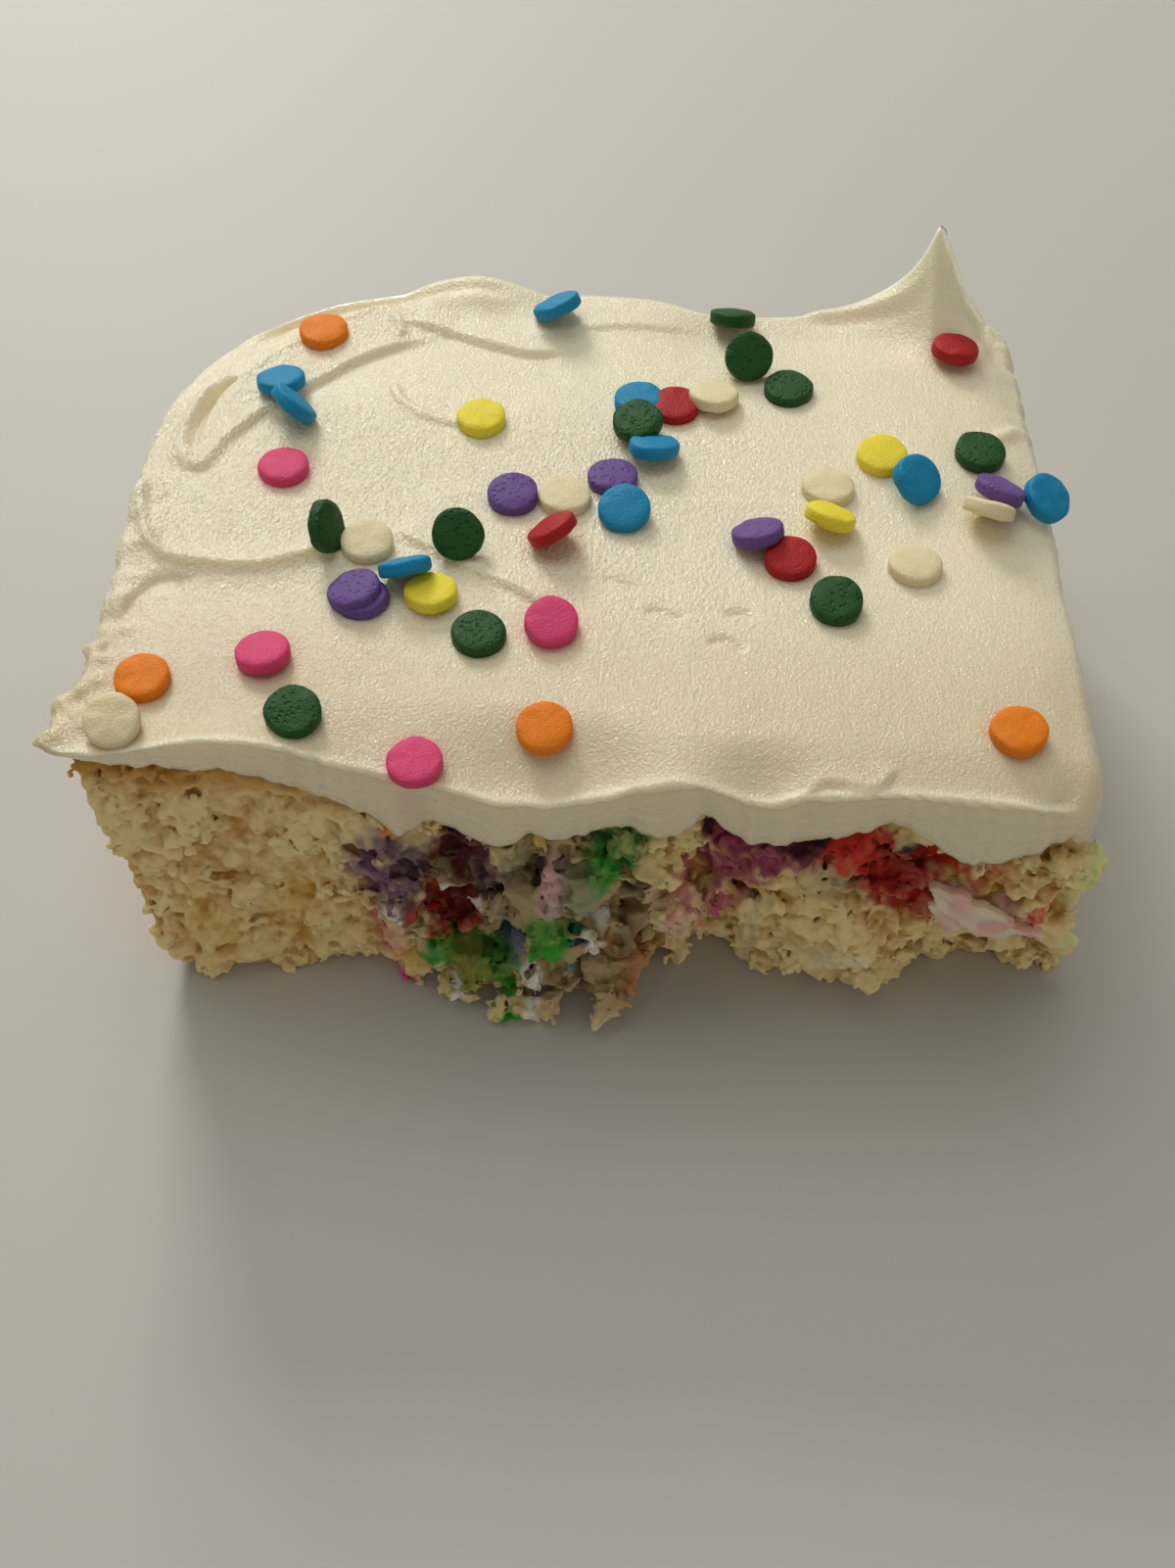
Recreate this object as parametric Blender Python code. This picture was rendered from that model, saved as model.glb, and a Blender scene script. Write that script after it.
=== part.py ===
"""A piece of iced sprinkle sheet cake: a corner piece, cut from the pan with a knife.

X runs along the front cut, +Y goes away from it, +Z is up. The origin is the middle of the
flat underside. The left and back sides stood against the pan, so they lean in towards the
base and meet in the pan's round corner. The front is a cut that tore the crumb, and the
right side is a cleaner cut. Shape functions work in millimetres; meshes are in metres.
"""

import math
import random

import bmesh
import bpy
from mathutils import Matrix, Vector, noise

MM = 0.001

# Driving sizes, in millimetres
LENGTH = 89.6
DEPTH = 65.0
ICING_TOP = 35.0
PAN_CORNER_RADIUS = 25.0
CUT_CORNER_RADIUS = 2.5
ICING_CORNER_RADIUS = 5.0
PAN_DRAFT = 3.2
PAN_FLOOR_RADIUS = 4.0
LAYER_GAP = 0.3

# The sponge domes up to the pan on the left: two straight slopes that meet at DOME_FOOT
DOME_FOOT = -24.0
DOME_FOOT_HEIGHT = 28.0
DOME_SLOPE = 0.225
FLAT_SLOPE = 0.02

# The icing overhangs the sponge by this much, and its shoulders are rounded by so much
ICING_OVERHANG = 0.8
RIGHT_SHOULDER = 2.2
PAN_SHOULDER = 1.0

# Cells across the length, the depth and the height of each solid
SPONGE_CELLS = (42, 30, 13)
ICING_CELLS = (42, 31, 3)

# The front cut seen from above: how far in (+) or out (-) it is from -DEPTH/2, along X
FRONT_WAVE = ((-46, 0.5), (-38, 1.2), (-30, 2.0), (-20, 1.0), (-8, -0.7), (3, 0.1),
              (10, 0.8), (16, -0.2), (24, 0.4), (34, 0.4), (46, -0.3))
# The height of the icing along the top of the front cut
FRONT_BROW = ((-46, 34.8), (-40, 34.6), (-33, 36.0), (-28, 35.8), (-20, 34.0), (-14, 33.8),
              (-5, 32.0), (2, 32.5), (9, 34.3), (16, 33.0), (22, 34.1), (32, 34.1), (46, 33.5))
BROW_REACH = 9.0
# How far the right edge of the icing is out (+) or in (-), from front to back
RIGHT_EDGE = ((-33, 1.2), (-24, 1.1), (-18, 0.9), (-12, 0.6), (-6, 0.1), (2, 0.1), (8, -0.3),
              (14, -0.9), (21, -1.3), (26, -1.6), (33, -1.9))
# How far the foot of the front cut is set back under the icing, along X
FOOT_SETBACK = ((-46, -0.8), (-38, -1.3), (-29, -1.4), (-22, 0.9), (-14, -0.2), (-4, 0.4),
                (4, -0.3), (12, 5.6), (17.5, 3.7), (22, 2.4), (29, 1.3), (33, 4.6), (46, 5.8))
# How far the right cut runs out at its foot, at the back and how much more at the front
CUT_FLARE, FRONT_FLARE = 1.6, 3.2
# The base stands this much further in than the pan's draft, as a share of PAN_FLOOR_RADIUS
FLOOR_ROUNDING = 0.6

# Lumps (+) and hollows (-) of the torn front: x, z, half width, half height, how far out
TORN_LUMPS = (
    (-18.0, 16.0, 4.0, 6.0, 0.7), (-11.0, 5.0, 5.0, 3.0, 0.9), (-3.0, 12.0, 2.6, 6.0, 1.8),
    (-5.0, 2.0, 3.0, 2.5, 1.0), (2.0, 18.0, 2.6, 3.5, 1.0), (9.0, 15.0, 3.0, 5.0, 1.8),
    (3.0, 2.5, 3.0, 3.0, 1.4), (24.5, 11.0, 6.5, 6.0, 3.0), (37.0, 13.0, 5.0, 3.5, 1.4),
    (-12.0, 20.5, 3.8, 3.4, -3.2), (-12.5, 12.5, 3.4, 3.2, -2.6), (1.0, 24.0, 2.2, 2.6, -2.8),
    (13.0, 25.0, 3.4, 2.2, -2.6), (5.0, 10.5, 2.4, 4.2, -2.6), (-7.5, 8.5, 2.6, 3.0, -1.8),
    (29.0, 21.0, 5.5, 4.5, -1.6), (13.5, 6.0, 3.2, 5.0, -1.2),
)
TEAR_POWER = 1.2
CRUMB_RELIEF = 1.0
CRUMB_SIZE = 3.2

# The coat's own waves: height, and length along X and Y; and the ragged left edge
WAVE_HEIGHT, WAVE_X, WAVE_Y = 0.35, 17.0, 13.0
RAGGED_REACH, RAGGED_SIZE = 0.7, 4.0
RIGHT_DROOP = 1.4
# A shape at an edge fades inwards as a power of the share of the piece left to cross:
# the front's and the right's reach far, the left edge's stays near it, the droop's nearer
FRONT_FADE, RIGHT_FADE, LEFT_FADE, DROOP_FADE = 5, 12, 20, 30

# Marks of the palette knife on the icing: a path, its half width and its height.
# A band is raised all along; a brow is raised on the left of the path and fades away from it.
SWIRL_BAND = ((-39.0, 6.0), (-36.5, 12.0), (-32.5, 18.5), (-28.0, 24.0), (-22.0, 28.5), (-8.0, 31.5))
SWIRL_HALF_WIDTH = 4.2
SWIRL_HEIGHT = 1.5
SWIRL_FLAT = 0.45
BROW_END = 3.0
BROWS = (
    (((-7.5, 22.5), (-11.0, 23.2), (-16.0, 25.0), (-22.0, 27.5)), 5.0, -1.3),
    (((-22.0, -1.0), (-17.5, -4.2), (-14.0, -7.3), (-9.0, -9.6), (-3.0, -13.0)), 6.0, 0.9),
    (((-21.5, 17.5), (-19.5, 14.5), (-14.0, 11.8), (-4.0, 11.6)), 6.0, 0.7),
)
CRESTS = (
    (((-43.5, 6.0), (-43.0, -2.5), (-40.5, -7.6), (-36.0, -8.8), (-30.0, -8.6), (-25.0, -6.8),
      (-22.0, -8.4)), 1.5, 1.0),
    (((-40.5, -11.0), (-42.0, -15.5), (-43.5, -18.5)), 1.5, 0.7),
)

# The curl of icing drawn up at the back right, and the thick lobe at the back left
CURL_FOOT_X, CURL_TIP_X, CURL_END_X = 19.5, 33.5, 39.5
CURL_HEIGHT = 9.0
CURL_REACH = 10.0
# The curl climbs to its tip, falls beyond it and rises to the back edge, each as a power
CURL_CLIMB, CURL_FALL, CURL_BACK = 2.4, 1.3, 2.2
CURL_BLEND = 6.0
LOBE_X, LOBE_HALF_WIDTH, LOBE_HEIGHT, LOBE_REACH = -14.5, 7.5, 2.4, 4.0

# The pointed lip that the knife dragged out at the front left
LIP_REACH = 4.6
LIP_LENGTH = 9.0
LIP_FADE = 14

SPRINKLE_DIAMETER = 4.95
SPRINKLE_THICKNESS = 1.5
SPRINKLE_DOME = 0.25
SPRINKLE_SIDES = 10
SPRINKLE_RIM = 0.3
SPRINKLE_SINK = 0.55
SIZE_SPREAD = 0.04

# Each sprinkle: x, y, then for one that leans its tilt in degrees, the compass direction
# its face leans to (0 is +X, 90 is +Y), and for one that lies on another its lift
SPRINKLES = {
    "orange": ((-38.9, -23.5, 4, 270), (-3.1, -27.0, 10, 270), (37.8, -25.7, 3, 270), (-29.6, 24.7)),
    "pink": ((-28.7, -20.2, 8, 120), (-14.0, -31.0, 2, 270, -0.15), (-3.2, -15.5, 14, 290), (-30.6, 4.2)),
    "red": ((-3.8, -4.6, 38, 143), (7.3, 15.4), (18.5, -6.1, 5, 270), (35.9, 24.8, 12, 60)),
    "yellow": ((-14.4, -12.3, 8, 95), (-12.0, 12.5, 3, 120), (27.7, 8.6, 4, 270), (22.3, -1.1, 30, 60)),
    "green": ((-24.9, -27.1, 10, 270), (-9.7, -16.8, 3, 270), (-24.8, -5.8, 70, 348),
              (-12.5, -6.0, 42, 275), (3.6, 11.5, 8, 240, 0.9), (18.7, 18.6), (14.6, 21.7, 45, 275),
              (13.0, 29.2, 30, 85), (22.5, -11.6, 14, 270), (37.3, 9.6, 4, 300)),
    "blue": ((-17.0, -10.2, 42, 108), (2.8, -0.7, 17, 265), (5.4, 8.1, 24, 85), (3.6, 16.1),
             (-32.6, 16.1, 14, 100), (-30.6, 11.9, 52, 36), (-5.4, 28.8, 32, 140),
             (30.7, 4.4, 34, 325), (43.2, 3.6, 30, 330, -0.9)),
    "purple": ((-21.4, -12.6, 13, 160), (-20.7, -13.0, 12, 150, -0.7), (-8.0, 1.3, 5, 270),
               (1.5, 4.3, 5, 95), (15.5, -3.5, 26, 122), (38.6, 3.4, 30, 50, 0.1)),
    "white": ((-40.3, -29.0, 20, 275), (-21.2, -5.8, 6, 300), (-3.0, 1.3), (11.1, 16.5, 12, 90),
              (22.3, 4.0), (30.1, -6.1), (37.3, 0.5, 44, 70)),
}


def clear_scene():
    for found in list(bpy.data.objects):
        bpy.data.objects.remove(found)


def along(points, at):
    """Height of the smooth curve through (place, value) points: a cubic between each pair."""
    if at <= points[0][0]:
        return points[0][1]
    if at >= points[-1][0]:
        return points[-1][1]
    n = max(i for i in range(len(points) - 1) if points[i][0] <= at)
    before, here = points[max(n - 1, 0)], points[n]
    there, after = points[n + 1], points[min(n + 2, len(points) - 1)]
    span = there[0] - here[0]
    t = (at - here[0]) / span
    slope_here = (there[1] - before[1]) / (there[0] - before[0]) * span
    slope_there = (after[1] - here[1]) / (after[0] - here[0]) * span
    return ((2 * t**3 - 3 * t**2 + 1) * here[1] + (t**3 - 2 * t**2 + t) * slope_here
            + (3 * t**2 - 2 * t**3) * there[1] + (t**3 - t**2) * slope_there)


def ease(t):
    """0 below 0, 1 above 1, and a smooth rise between."""
    t = min(1.0, max(0.0, t))
    return t * t * (3 - 2 * t)


def path_distance(path, x, y):
    """Distance to a path, which side of it the point is on (+1 left), and how far past its ends."""
    best = (1e9, 1.0, 0.0)
    place = Vector((x, y))
    for n in range(len(path) - 1):
        start, end = Vector(path[n]), Vector(path[n + 1])
        run = end - start
        t = (place - start).dot(run) / run.length_squared
        held = min(1.0, max(0.0, t))
        away = place - (start + run * held)
        side = 1.0 if run.x * away.y - run.y * away.x >= 0 else -1.0
        past = abs(t - held) * run.length if n in (0, len(path) - 2) else 0.0
        if away.length < best[0]:
            best = (away.length, side, past)
    return best


def rounded_corner(x, y, corner_x, corner_y, radius):
    """Pulls a point of a square corner inwards, so that the corner becomes a quarter circle."""
    inward_x, inward_y = -math.copysign(1, corner_x), -math.copysign(1, corner_y)
    a = 1 - (x - corner_x) * inward_x / radius
    b = 1 - (y - corner_y) * inward_y / radius
    if a <= 0 or b <= 0:
        return x, y
    round_a, round_b = a * math.sqrt(1 - b * b / 2), b * math.sqrt(1 - a * a / 2)
    return (corner_x + inward_x * radius * (1 - round_a),
            corner_y + inward_y * radius * (1 - round_b))


def plan_point(u, v, left, right, front, back, front_right_radius):
    """The plan of the piece: u runs left to right and v front to back, from 0 to 1."""
    x = left + (right - left) * u
    y = front + (back - front) * v
    x, y = rounded_corner(x, y, left, back, PAN_CORNER_RADIUS)
    x, y = rounded_corner(x, y, right, front, front_right_radius)
    for corner_x, corner_y in ((left, front), (right, back)):
        x, y = rounded_corner(x, y, corner_x, corner_y, CUT_CORNER_RADIUS)
    return x, y


def sponge_top(x):
    """Height of the sponge under the icing: two slopes that meet at DOME_FOOT."""
    if x < DOME_FOOT:
        return DOME_FOOT_HEIGHT + (DOME_FOOT - x) * DOME_SLOPE
    return DOME_FOOT_HEIGHT - (x - DOME_FOOT) * FLAT_SLOPE


def icing_top(x, y):
    """Height of the icing: a level coat, lower or higher along the front cut, with the
    marks of the palette knife, the lobe and the curl along the back."""
    from_front = y + DEPTH / 2
    height = ICING_TOP + (along(FRONT_BROW, x) - ICING_TOP) * (1 - ease(from_front / BROW_REACH))
    height += WAVE_HEIGHT * noise.noise(Vector((x / WAVE_X, y / WAVE_Y, 3.0)))
    distance, _, _ = path_distance(SWIRL_BAND, x, y)
    height += SWIRL_HEIGHT * (1 - ease(distance / SWIRL_HALF_WIDTH - SWIRL_FLAT))
    for path, reach, rise in BROWS:
        distance, side, past = path_distance(path, x, y)
        if side * rise > 0:
            height += abs(rise) * max(0.0, 1 - distance / reach) * (1 - ease(past / BROW_END))
    for path, half_width, rise in CRESTS:
        distance, _, _ = path_distance(path, x, y)
        height += rise * math.exp(-((distance / half_width) ** 2))
    height += curl(x, y) + lobe(x, y)
    return height


def curl(x, y):
    """The curl at the back right: it climbs to a point along X, and up to the back edge."""
    if not CURL_FOOT_X < x < CURL_END_X:
        return 0.0
    if x < CURL_TIP_X:
        climb = ((x - CURL_FOOT_X) / (CURL_TIP_X - CURL_FOOT_X)) ** CURL_CLIMB
    else:
        climb = ((CURL_END_X - x) / (CURL_END_X - CURL_TIP_X)) ** CURL_FALL
    into = max(0.0, 1 - (DEPTH / 2 - y) / CURL_REACH)
    return CURL_HEIGHT * climb * into**CURL_BACK


def lobe(x, y):
    """The thick lobe on the back edge, beside the swirl."""
    across = 1 - ease(abs(x - LOBE_X) / LOBE_HALF_WIDTH)
    return LOBE_HEIGHT * across * max(0.0, 1 - (DEPTH / 2 - y) / LOBE_REACH)


def torn_front(x, z):
    """How far the torn crumb stands out of the front cut at this place."""
    below_icing = max(0.0, 1 - z / DOME_FOOT_HEIGHT)
    out = -along(FOOT_SETBACK, x) * below_icing**TEAR_POWER
    for lump_x, lump_z, half_width, half_height, rise in TORN_LUMPS:
        out += rise * math.exp(-((x - lump_x) / half_width) ** 2 - ((z - lump_z) / half_height) ** 2)
    return out - along(FRONT_WAVE, x)


def crumb(x, y, z):
    """Relief of the open crumb, from -1 to 1, in lumps of about CRUMB_SIZE."""
    return noise.noise(Vector((x, y, z)) / CRUMB_SIZE)


def sponge_point(u, v, w):
    """Where a corner of the sliced block goes in the sponge. w runs from the base to the top."""
    draft = PAN_DRAFT * (1 - w)
    floor_edge = 0.0
    height = w * DOME_FOOT_HEIGHT
    if height < PAN_FLOOR_RADIUS:
        floor_edge = PAN_FLOOR_RADIUS - math.sqrt(PAN_FLOOR_RADIUS**2 - (PAN_FLOOR_RADIUS - height) ** 2)
        floor_edge *= FLOOR_ROUNDING
    left = -LENGTH / 2 + ICING_OVERHANG + draft + floor_edge
    back = DEPTH / 2 - ICING_OVERHANG - draft - floor_edge
    right, front = LENGTH / 2 - ICING_OVERHANG, -DEPTH / 2 + ICING_OVERHANG
    x, y = plan_point(u, v, left, right, front, back, CUT_CORNER_RADIUS)
    z = w * sponge_top(x)
    rough = CRUMB_RELIEF * crumb(x, y, z) * ease(w * 4) * ease((1 - w) * 5)
    # Only what is near a cut is torn; the inside of the block just follows
    y -= (torn_front(x, z) + rough * (x > -LENGTH / 2 + 4)) * (1 - v) ** FRONT_FADE
    x += (rough * 0.8 + (CUT_FLARE + FRONT_FLARE * (1 - v)) * (1 - w)) * u**RIGHT_FADE
    return Vector((x, y, z))


def icing_point(u, v, w):
    """Where a corner of the sliced block goes in the icing. w runs from the sponge to the top."""
    shoulder = 1 - math.sqrt(max(0.0, 1 - w**4))
    left = -LENGTH / 2 + PAN_SHOULDER * shoulder
    right = LENGTH / 2 - RIGHT_SHOULDER * shoulder
    back = DEPTH / 2 - PAN_SHOULDER * shoulder * ease((CURL_FOOT_X - (u - 0.5) * LENGTH) / CURL_BLEND)
    x, y = plan_point(u, v, left, right, -DEPTH / 2, back, ICING_CORNER_RADIUS)
    y += along(FRONT_WAVE, x) * (1 - v) ** FRONT_FADE
    x += RAGGED_REACH * noise.noise(Vector((3.0, y / RAGGED_SIZE, 7.0))) * (1 - u) ** LEFT_FADE
    x += along(RIGHT_EDGE, y) * u**RIGHT_FADE
    top = icing_top(x, y) - RIGHT_DROOP * u**DROOP_FADE * (w == 1)
    # The dragged lip leaves the front left corner, thins to a point and stays near the top
    drag = LIP_REACH * max(0.0, 1 - (y + DEPTH / 2) / LIP_LENGTH) * (1 - u) ** LIP_FADE
    under = sponge_top(x) + LAYER_GAP
    return Vector((x - drag * w, y, under + (top - under) * w))


def sliced_block(cells, place):
    """A cube sliced into cells on each axis, with every corner moved by a shape function."""
    block = bmesh.new()
    bmesh.ops.create_cube(block, size=1, matrix=Matrix.Translation((0.5, 0.5, 0.5)))
    for axis, count in enumerate(cells):
        normal = Vector((0, 0, 0))
        normal[axis] = 1
        for cut in range(1, count):
            geometry = block.verts[:] + block.edges[:] + block.faces[:]
            bmesh.ops.bisect_plane(block, geom=geometry, plane_co=normal * cut / count, plane_no=normal)
    for vert in block.verts:
        vert.co = place(*vert.co) * MM
    return block


def merge_flat(block, is_flat):
    """Joins the small faces of a flat face into large ones."""
    flat = {face for face in block.faces if is_flat(face)}
    inner = [edge for edge in block.edges if all(face in flat for face in edge.link_faces)]
    corners = [vert for vert in block.verts if all(face in flat for face in vert.link_faces)]
    bmesh.ops.dissolve_limit(block, angle_limit=math.radians(0.1), verts=corners, edges=inner)


def plain_material(name, colour, roughness):
    material = bpy.data.materials.new(name)
    material.use_nodes = True
    shader = material.node_tree.nodes["Principled BSDF"]
    shader.inputs["Base Color"].default_value = (*colour, 1.0)
    shader.inputs["Roughness"].default_value = roughness
    shader.inputs["Metallic"].default_value = 0.0
    return material


def new_object(name, block, collection):
    mesh = bpy.data.meshes.new(name)
    block.to_mesh(mesh)
    block.free()
    made = bpy.data.objects.new(name, mesh)
    collection.objects.link(made)
    return made


def make_sponge(collection):
    block = sliced_block(SPONGE_CELLS, sponge_point)
    merge_flat(block, lambda face: abs(face.normal.z) > 0.9 and (
        max(vert.co.z for vert in face.verts) < 0.01 * MM
        or min(vert.co.z - sponge_top(vert.co.x / MM) * MM for vert in face.verts) > -0.01 * MM))
    sponge = new_object("sponge", block, collection)
    sponge.data.materials.append(plain_material("vanilla_crumb", (0.80, 0.66, 0.36), 0.9))
    return sponge


def sprinkle_pose(x, y, tilt=0.0, towards=0.0, lift=0.0):
    """Where a sprinkle lies: sunk a little into the icing by its lowest edge."""
    tilt, towards = math.radians(tilt), math.radians(towards)
    radius, half = SPRINKLE_DIAMETER / 2, SPRINKLE_THICKNESS / 2
    centre_above = radius * math.sin(tilt) + half * math.cos(tilt) - SPRINKLE_SINK
    lean = Matrix.Rotation(tilt, 4, Vector((-math.sin(towards), math.cos(towards), 0)))
    height = icing_top(x, y) + centre_above + lift
    return Matrix.Translation(Vector((x, y, height)) * MM) @ lean


def sprinkle_block(scale, turn):
    """A pressed sugar disc: a short cylinder whose top face is drawn in and raised."""
    block = bmesh.new()
    radius, thick = SPRINKLE_DIAMETER / 2 * scale * MM, SPRINKLE_THICKNESS * MM
    bmesh.ops.create_cone(block, cap_ends=True, segments=SPRINKLE_SIDES, radius1=radius,
                          radius2=radius, depth=thick, matrix=Matrix.Rotation(turn, 4, "Z"))
    block.faces.ensure_lookup_table()
    top = max(block.faces, key=lambda face: face.calc_center_median().z)
    bmesh.ops.inset_region(block, faces=[top], thickness=radius * SPRINKLE_RIM, depth=SPRINKLE_DOME * MM)
    return block


def make_icing(collection, sprinkles):
    block = sliced_block(ICING_CELLS, icing_point)
    merge_flat(block, lambda face: face.normal.z < -0.9 and max(
        vert.co.z - (sponge_top(vert.co.x / MM) + LAYER_GAP) * MM for vert in face.verts) < 0.01 * MM)
    icing = new_object("icing", block, collection)
    icing.data.materials.append(plain_material("buttercream", (0.86, 0.80, 0.62), 0.45))
    dice = random.Random(4)
    for colour, places in SPRINKLES.items():
        for n, place in enumerate(places):
            scale = 1 + dice.uniform(-SIZE_SPREAD, SIZE_SPREAD)
            disc = new_object(f"sprinkle_{colour}_{n}", sprinkle_block(scale, dice.uniform(0, 1)), sprinkles)
            disc.matrix_world = sprinkle_pose(*place)
    fuse(icing, sprinkles)
    return icing


def fuse(body, others):
    """Joins a collection's objects to the body as one solid, and removes them."""
    join = body.modifiers.new("fused", "BOOLEAN")
    join.operation = "UNION"
    join.operand_type = "COLLECTION"
    join.collection = others
    join.solver = "EXACT"
    bpy.context.view_layer.update()
    whole = bpy.data.meshes.new_from_object(body.evaluated_get(bpy.context.evaluated_depsgraph_get()))
    body.modifiers.clear()
    body.data = whole
    for found in list(others.objects):
        bpy.data.objects.remove(found)
    bpy.data.collections.remove(others)


def main():
    clear_scene()
    piece = bpy.data.collections.new("iced_sprinkle_cake")
    sprinkles = bpy.data.collections.new("sprinkles")
    bpy.context.scene.collection.children.link(piece)
    bpy.context.scene.collection.children.link(sprinkles)
    sponge = make_sponge(piece)
    icing = make_icing(piece, sprinkles)
    for solid in (sponge, icing):
        solid.data.shade_smooth()
        solid.data.set_sharp_from_angle(angle=math.radians(40))


main()
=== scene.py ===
"""The looks of a corner piece of iced sprinkle sheet cake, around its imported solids.

Shapes are worked out in millimetres and become metres when a mesh is made. X runs along the
torn front cut, +Y away from it, +Z up, and the origin is the middle of the flat underside.
"""

import math

import bpy
import numpy as np
from mathutils import Matrix, Vector


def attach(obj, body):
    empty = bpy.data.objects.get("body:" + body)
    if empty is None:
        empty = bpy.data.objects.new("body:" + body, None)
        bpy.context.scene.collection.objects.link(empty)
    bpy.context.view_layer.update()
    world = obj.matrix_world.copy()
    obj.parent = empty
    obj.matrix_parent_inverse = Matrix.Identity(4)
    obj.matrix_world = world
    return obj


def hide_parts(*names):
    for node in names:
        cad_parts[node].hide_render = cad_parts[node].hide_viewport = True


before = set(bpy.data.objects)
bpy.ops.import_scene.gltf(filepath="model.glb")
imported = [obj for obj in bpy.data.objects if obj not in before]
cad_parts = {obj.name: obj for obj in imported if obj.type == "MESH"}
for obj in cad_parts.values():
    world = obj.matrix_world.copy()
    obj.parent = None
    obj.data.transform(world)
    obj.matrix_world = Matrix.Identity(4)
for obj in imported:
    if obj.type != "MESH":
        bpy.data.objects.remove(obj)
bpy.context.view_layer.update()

# The view: a phone held 15 cm from the front edge of the icing, a little to the right of the
# middle, and looking down on it at 52 degrees.

PHOTO_HEIGHT = 1601
FOCAL_LENGTH_PX = 1850.0
SENSOR_MM = 36.0
LOOK_DOWN, LOOK_LEFT = math.radians(52), math.radians(3)
LOOKS_AT = Vector((1.0, -33.0, 35.0))
PHONE_DISTANCE = 153.1
MM = 0.001

phone = bpy.data.objects.new("phone_view", bpy.data.cameras.new("phone_view"))
phone.data.sensor_width = SENSOR_MM
phone.data.lens = SENSOR_MM * FOCAL_LENGTH_PX / PHOTO_HEIGHT
phone.data.clip_start = 0.005
look = Vector((-math.sin(LOOK_LEFT) * math.cos(LOOK_DOWN), math.cos(LOOK_LEFT) * math.cos(LOOK_DOWN),
               -math.sin(LOOK_DOWN)))
phone.location = (LOOKS_AT - look * PHONE_DISTANCE) * MM
phone.rotation_euler = look.to_track_quat("-Z", "Y").to_euler()
bpy.context.scene.collection.objects.link(phone)
bpy.context.scene.camera = phone

# The sponge: a butter sponge baked in a metal pan and cut with a knife that dragged on the
# front, so that cut is torn into clumps, hollows and flakes. Sprinkles baked into the crumb
# have melted to patches of dye. The left, the back and the base keep the pan's golden skin.

LENGTH, DEPTH = 89.6, 65.0
OVERHANG = 0.8
PAN_CORNER_RADIUS = 25.0
PAN_DRAFT, PAN_FLOOR_RADIUS, FLOOR_ROUNDING = 3.2, 4.0, 0.6
DOME_FOOT, DOME_FOOT_HEIGHT, DOME_SLOPE, FLAT_SLOPE = -24.0, 28.0, 0.225, 0.02
CUT_FLARE, FRONT_FLARE = 1.6, 3.2
# How far the sponge's edges are rounded: between its two cuts, from a cut to the pan's side,
# along the base and along the top
BETWEEN_CUTS, CUT_TO_PAN, ALONG_BASE, ALONG_TOP = 3.0, 1.2, 0.2, 0.8
# The sponge reaches this far up into the icing that sticks to it, and its front cut lies
# this far back where the icing hangs over it
STUCK, UNDER_ICING = 0.5, 1.6

# Along X: how far in the front cut is, how far its foot is set back, the icing's lower edge
FRONT_WAVE = ((-46, 0.5), (-38, 1.2), (-30, 2.0), (-20, 1.0), (-8, -0.7), (3, 0.1),
              (10, 0.8), (16, -0.2), (24, 0.4), (34, 0.4), (46, -0.3))
FOOT_SETBACK = ((-46, -0.8), (-38, -1.3), (-29, -1.4), (-22, 0.9), (-14, -0.2), (-4, 0.4),
                (4, -0.3), (12, 5.6), (17.5, 3.7), (22, 2.4), (29, 1.3), (33, 4.6), (46, 5.8))
LOWER_EDGE = ((-46, 33.2), (-39, 32.5), (-34, 31.5), (-30, 30.7), (-24, 28.8), (-19, 27.1),
              (-17.3, 25.6), (-16.3, 24.4), (-14.6, 25.6), (-13, 27.9), (-11, 27.2), (-9, 25.8),
              (-6, 25.5), (-4, 27.0), (-2, 26.5), (1, 27.0), (4, 28.0), (6, 26.4), (8, 25.8),
              (10, 27.2), (11, 29.3), (14, 27.0), (19, 26.8), (24, 27.8), (28, 29.1),
              (31, 27.4), (33, 25.5), (35, 24.6), (40, 25.5), (43, 27.5), (46, 28.0))

# Lumps (+) and hollows (-) of the torn cut: x, z, half width, half height, how far out
TORN_LUMPS = (
    (-18.0, 16.0, 4.0, 6.0, 0.7), (-11.0, 5.0, 5.0, 3.0, 0.9), (-3.0, 12.0, 2.6, 6.0, 1.8),
    (-5.0, 2.0, 3.0, 2.5, 1.0), (2.0, 18.0, 2.6, 3.5, 1.0), (9.0, 15.0, 3.0, 5.0, 1.8),
    (3.0, 2.5, 3.0, 3.0, 1.4), (24.5, 11.0, 6.5, 6.0, 3.0), (37.0, 13.0, 5.0, 3.5, 1.4),
    (-12.0, 20.5, 3.8, 3.4, -4.2), (-12.5, 12.5, 3.2, 3.0, -3.6), (1.0, 24.0, 1.8, 2.6, -3.4),
    (13.0, 25.5, 3.0, 2.0, -4.5), (5.0, 10.5, 2.2, 4.0, -3.4), (-7.5, 8.5, 2.2, 2.8, -2.4),
    (29.0, 21.0, 5.0, 4.0, -2.2), (13.5, 6.0, 3.2, 5.0, -1.2), (-1.4, 22.0, 1.0, 2.0, -2.0),
    (20.0, 25.8, 5.5, 1.3, -3.2), (-6.0, 15.0, 1.3, 3.0, -1.4), (10.6, 20.6, 1.6, 2.4, -2.6),
    (-4.2, 20.4, 1.2, 3.0, -2.4), (8.0, 8.0, 1.4, 1.8, -2.2), (-1.4, 5.4, 1.3, 2.2, -2.0),
    (0.3, 25.4, 1.0, 1.6, -2.6), (5.0, 17.2, 1.4, 2.6, -2.6),
)
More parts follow.
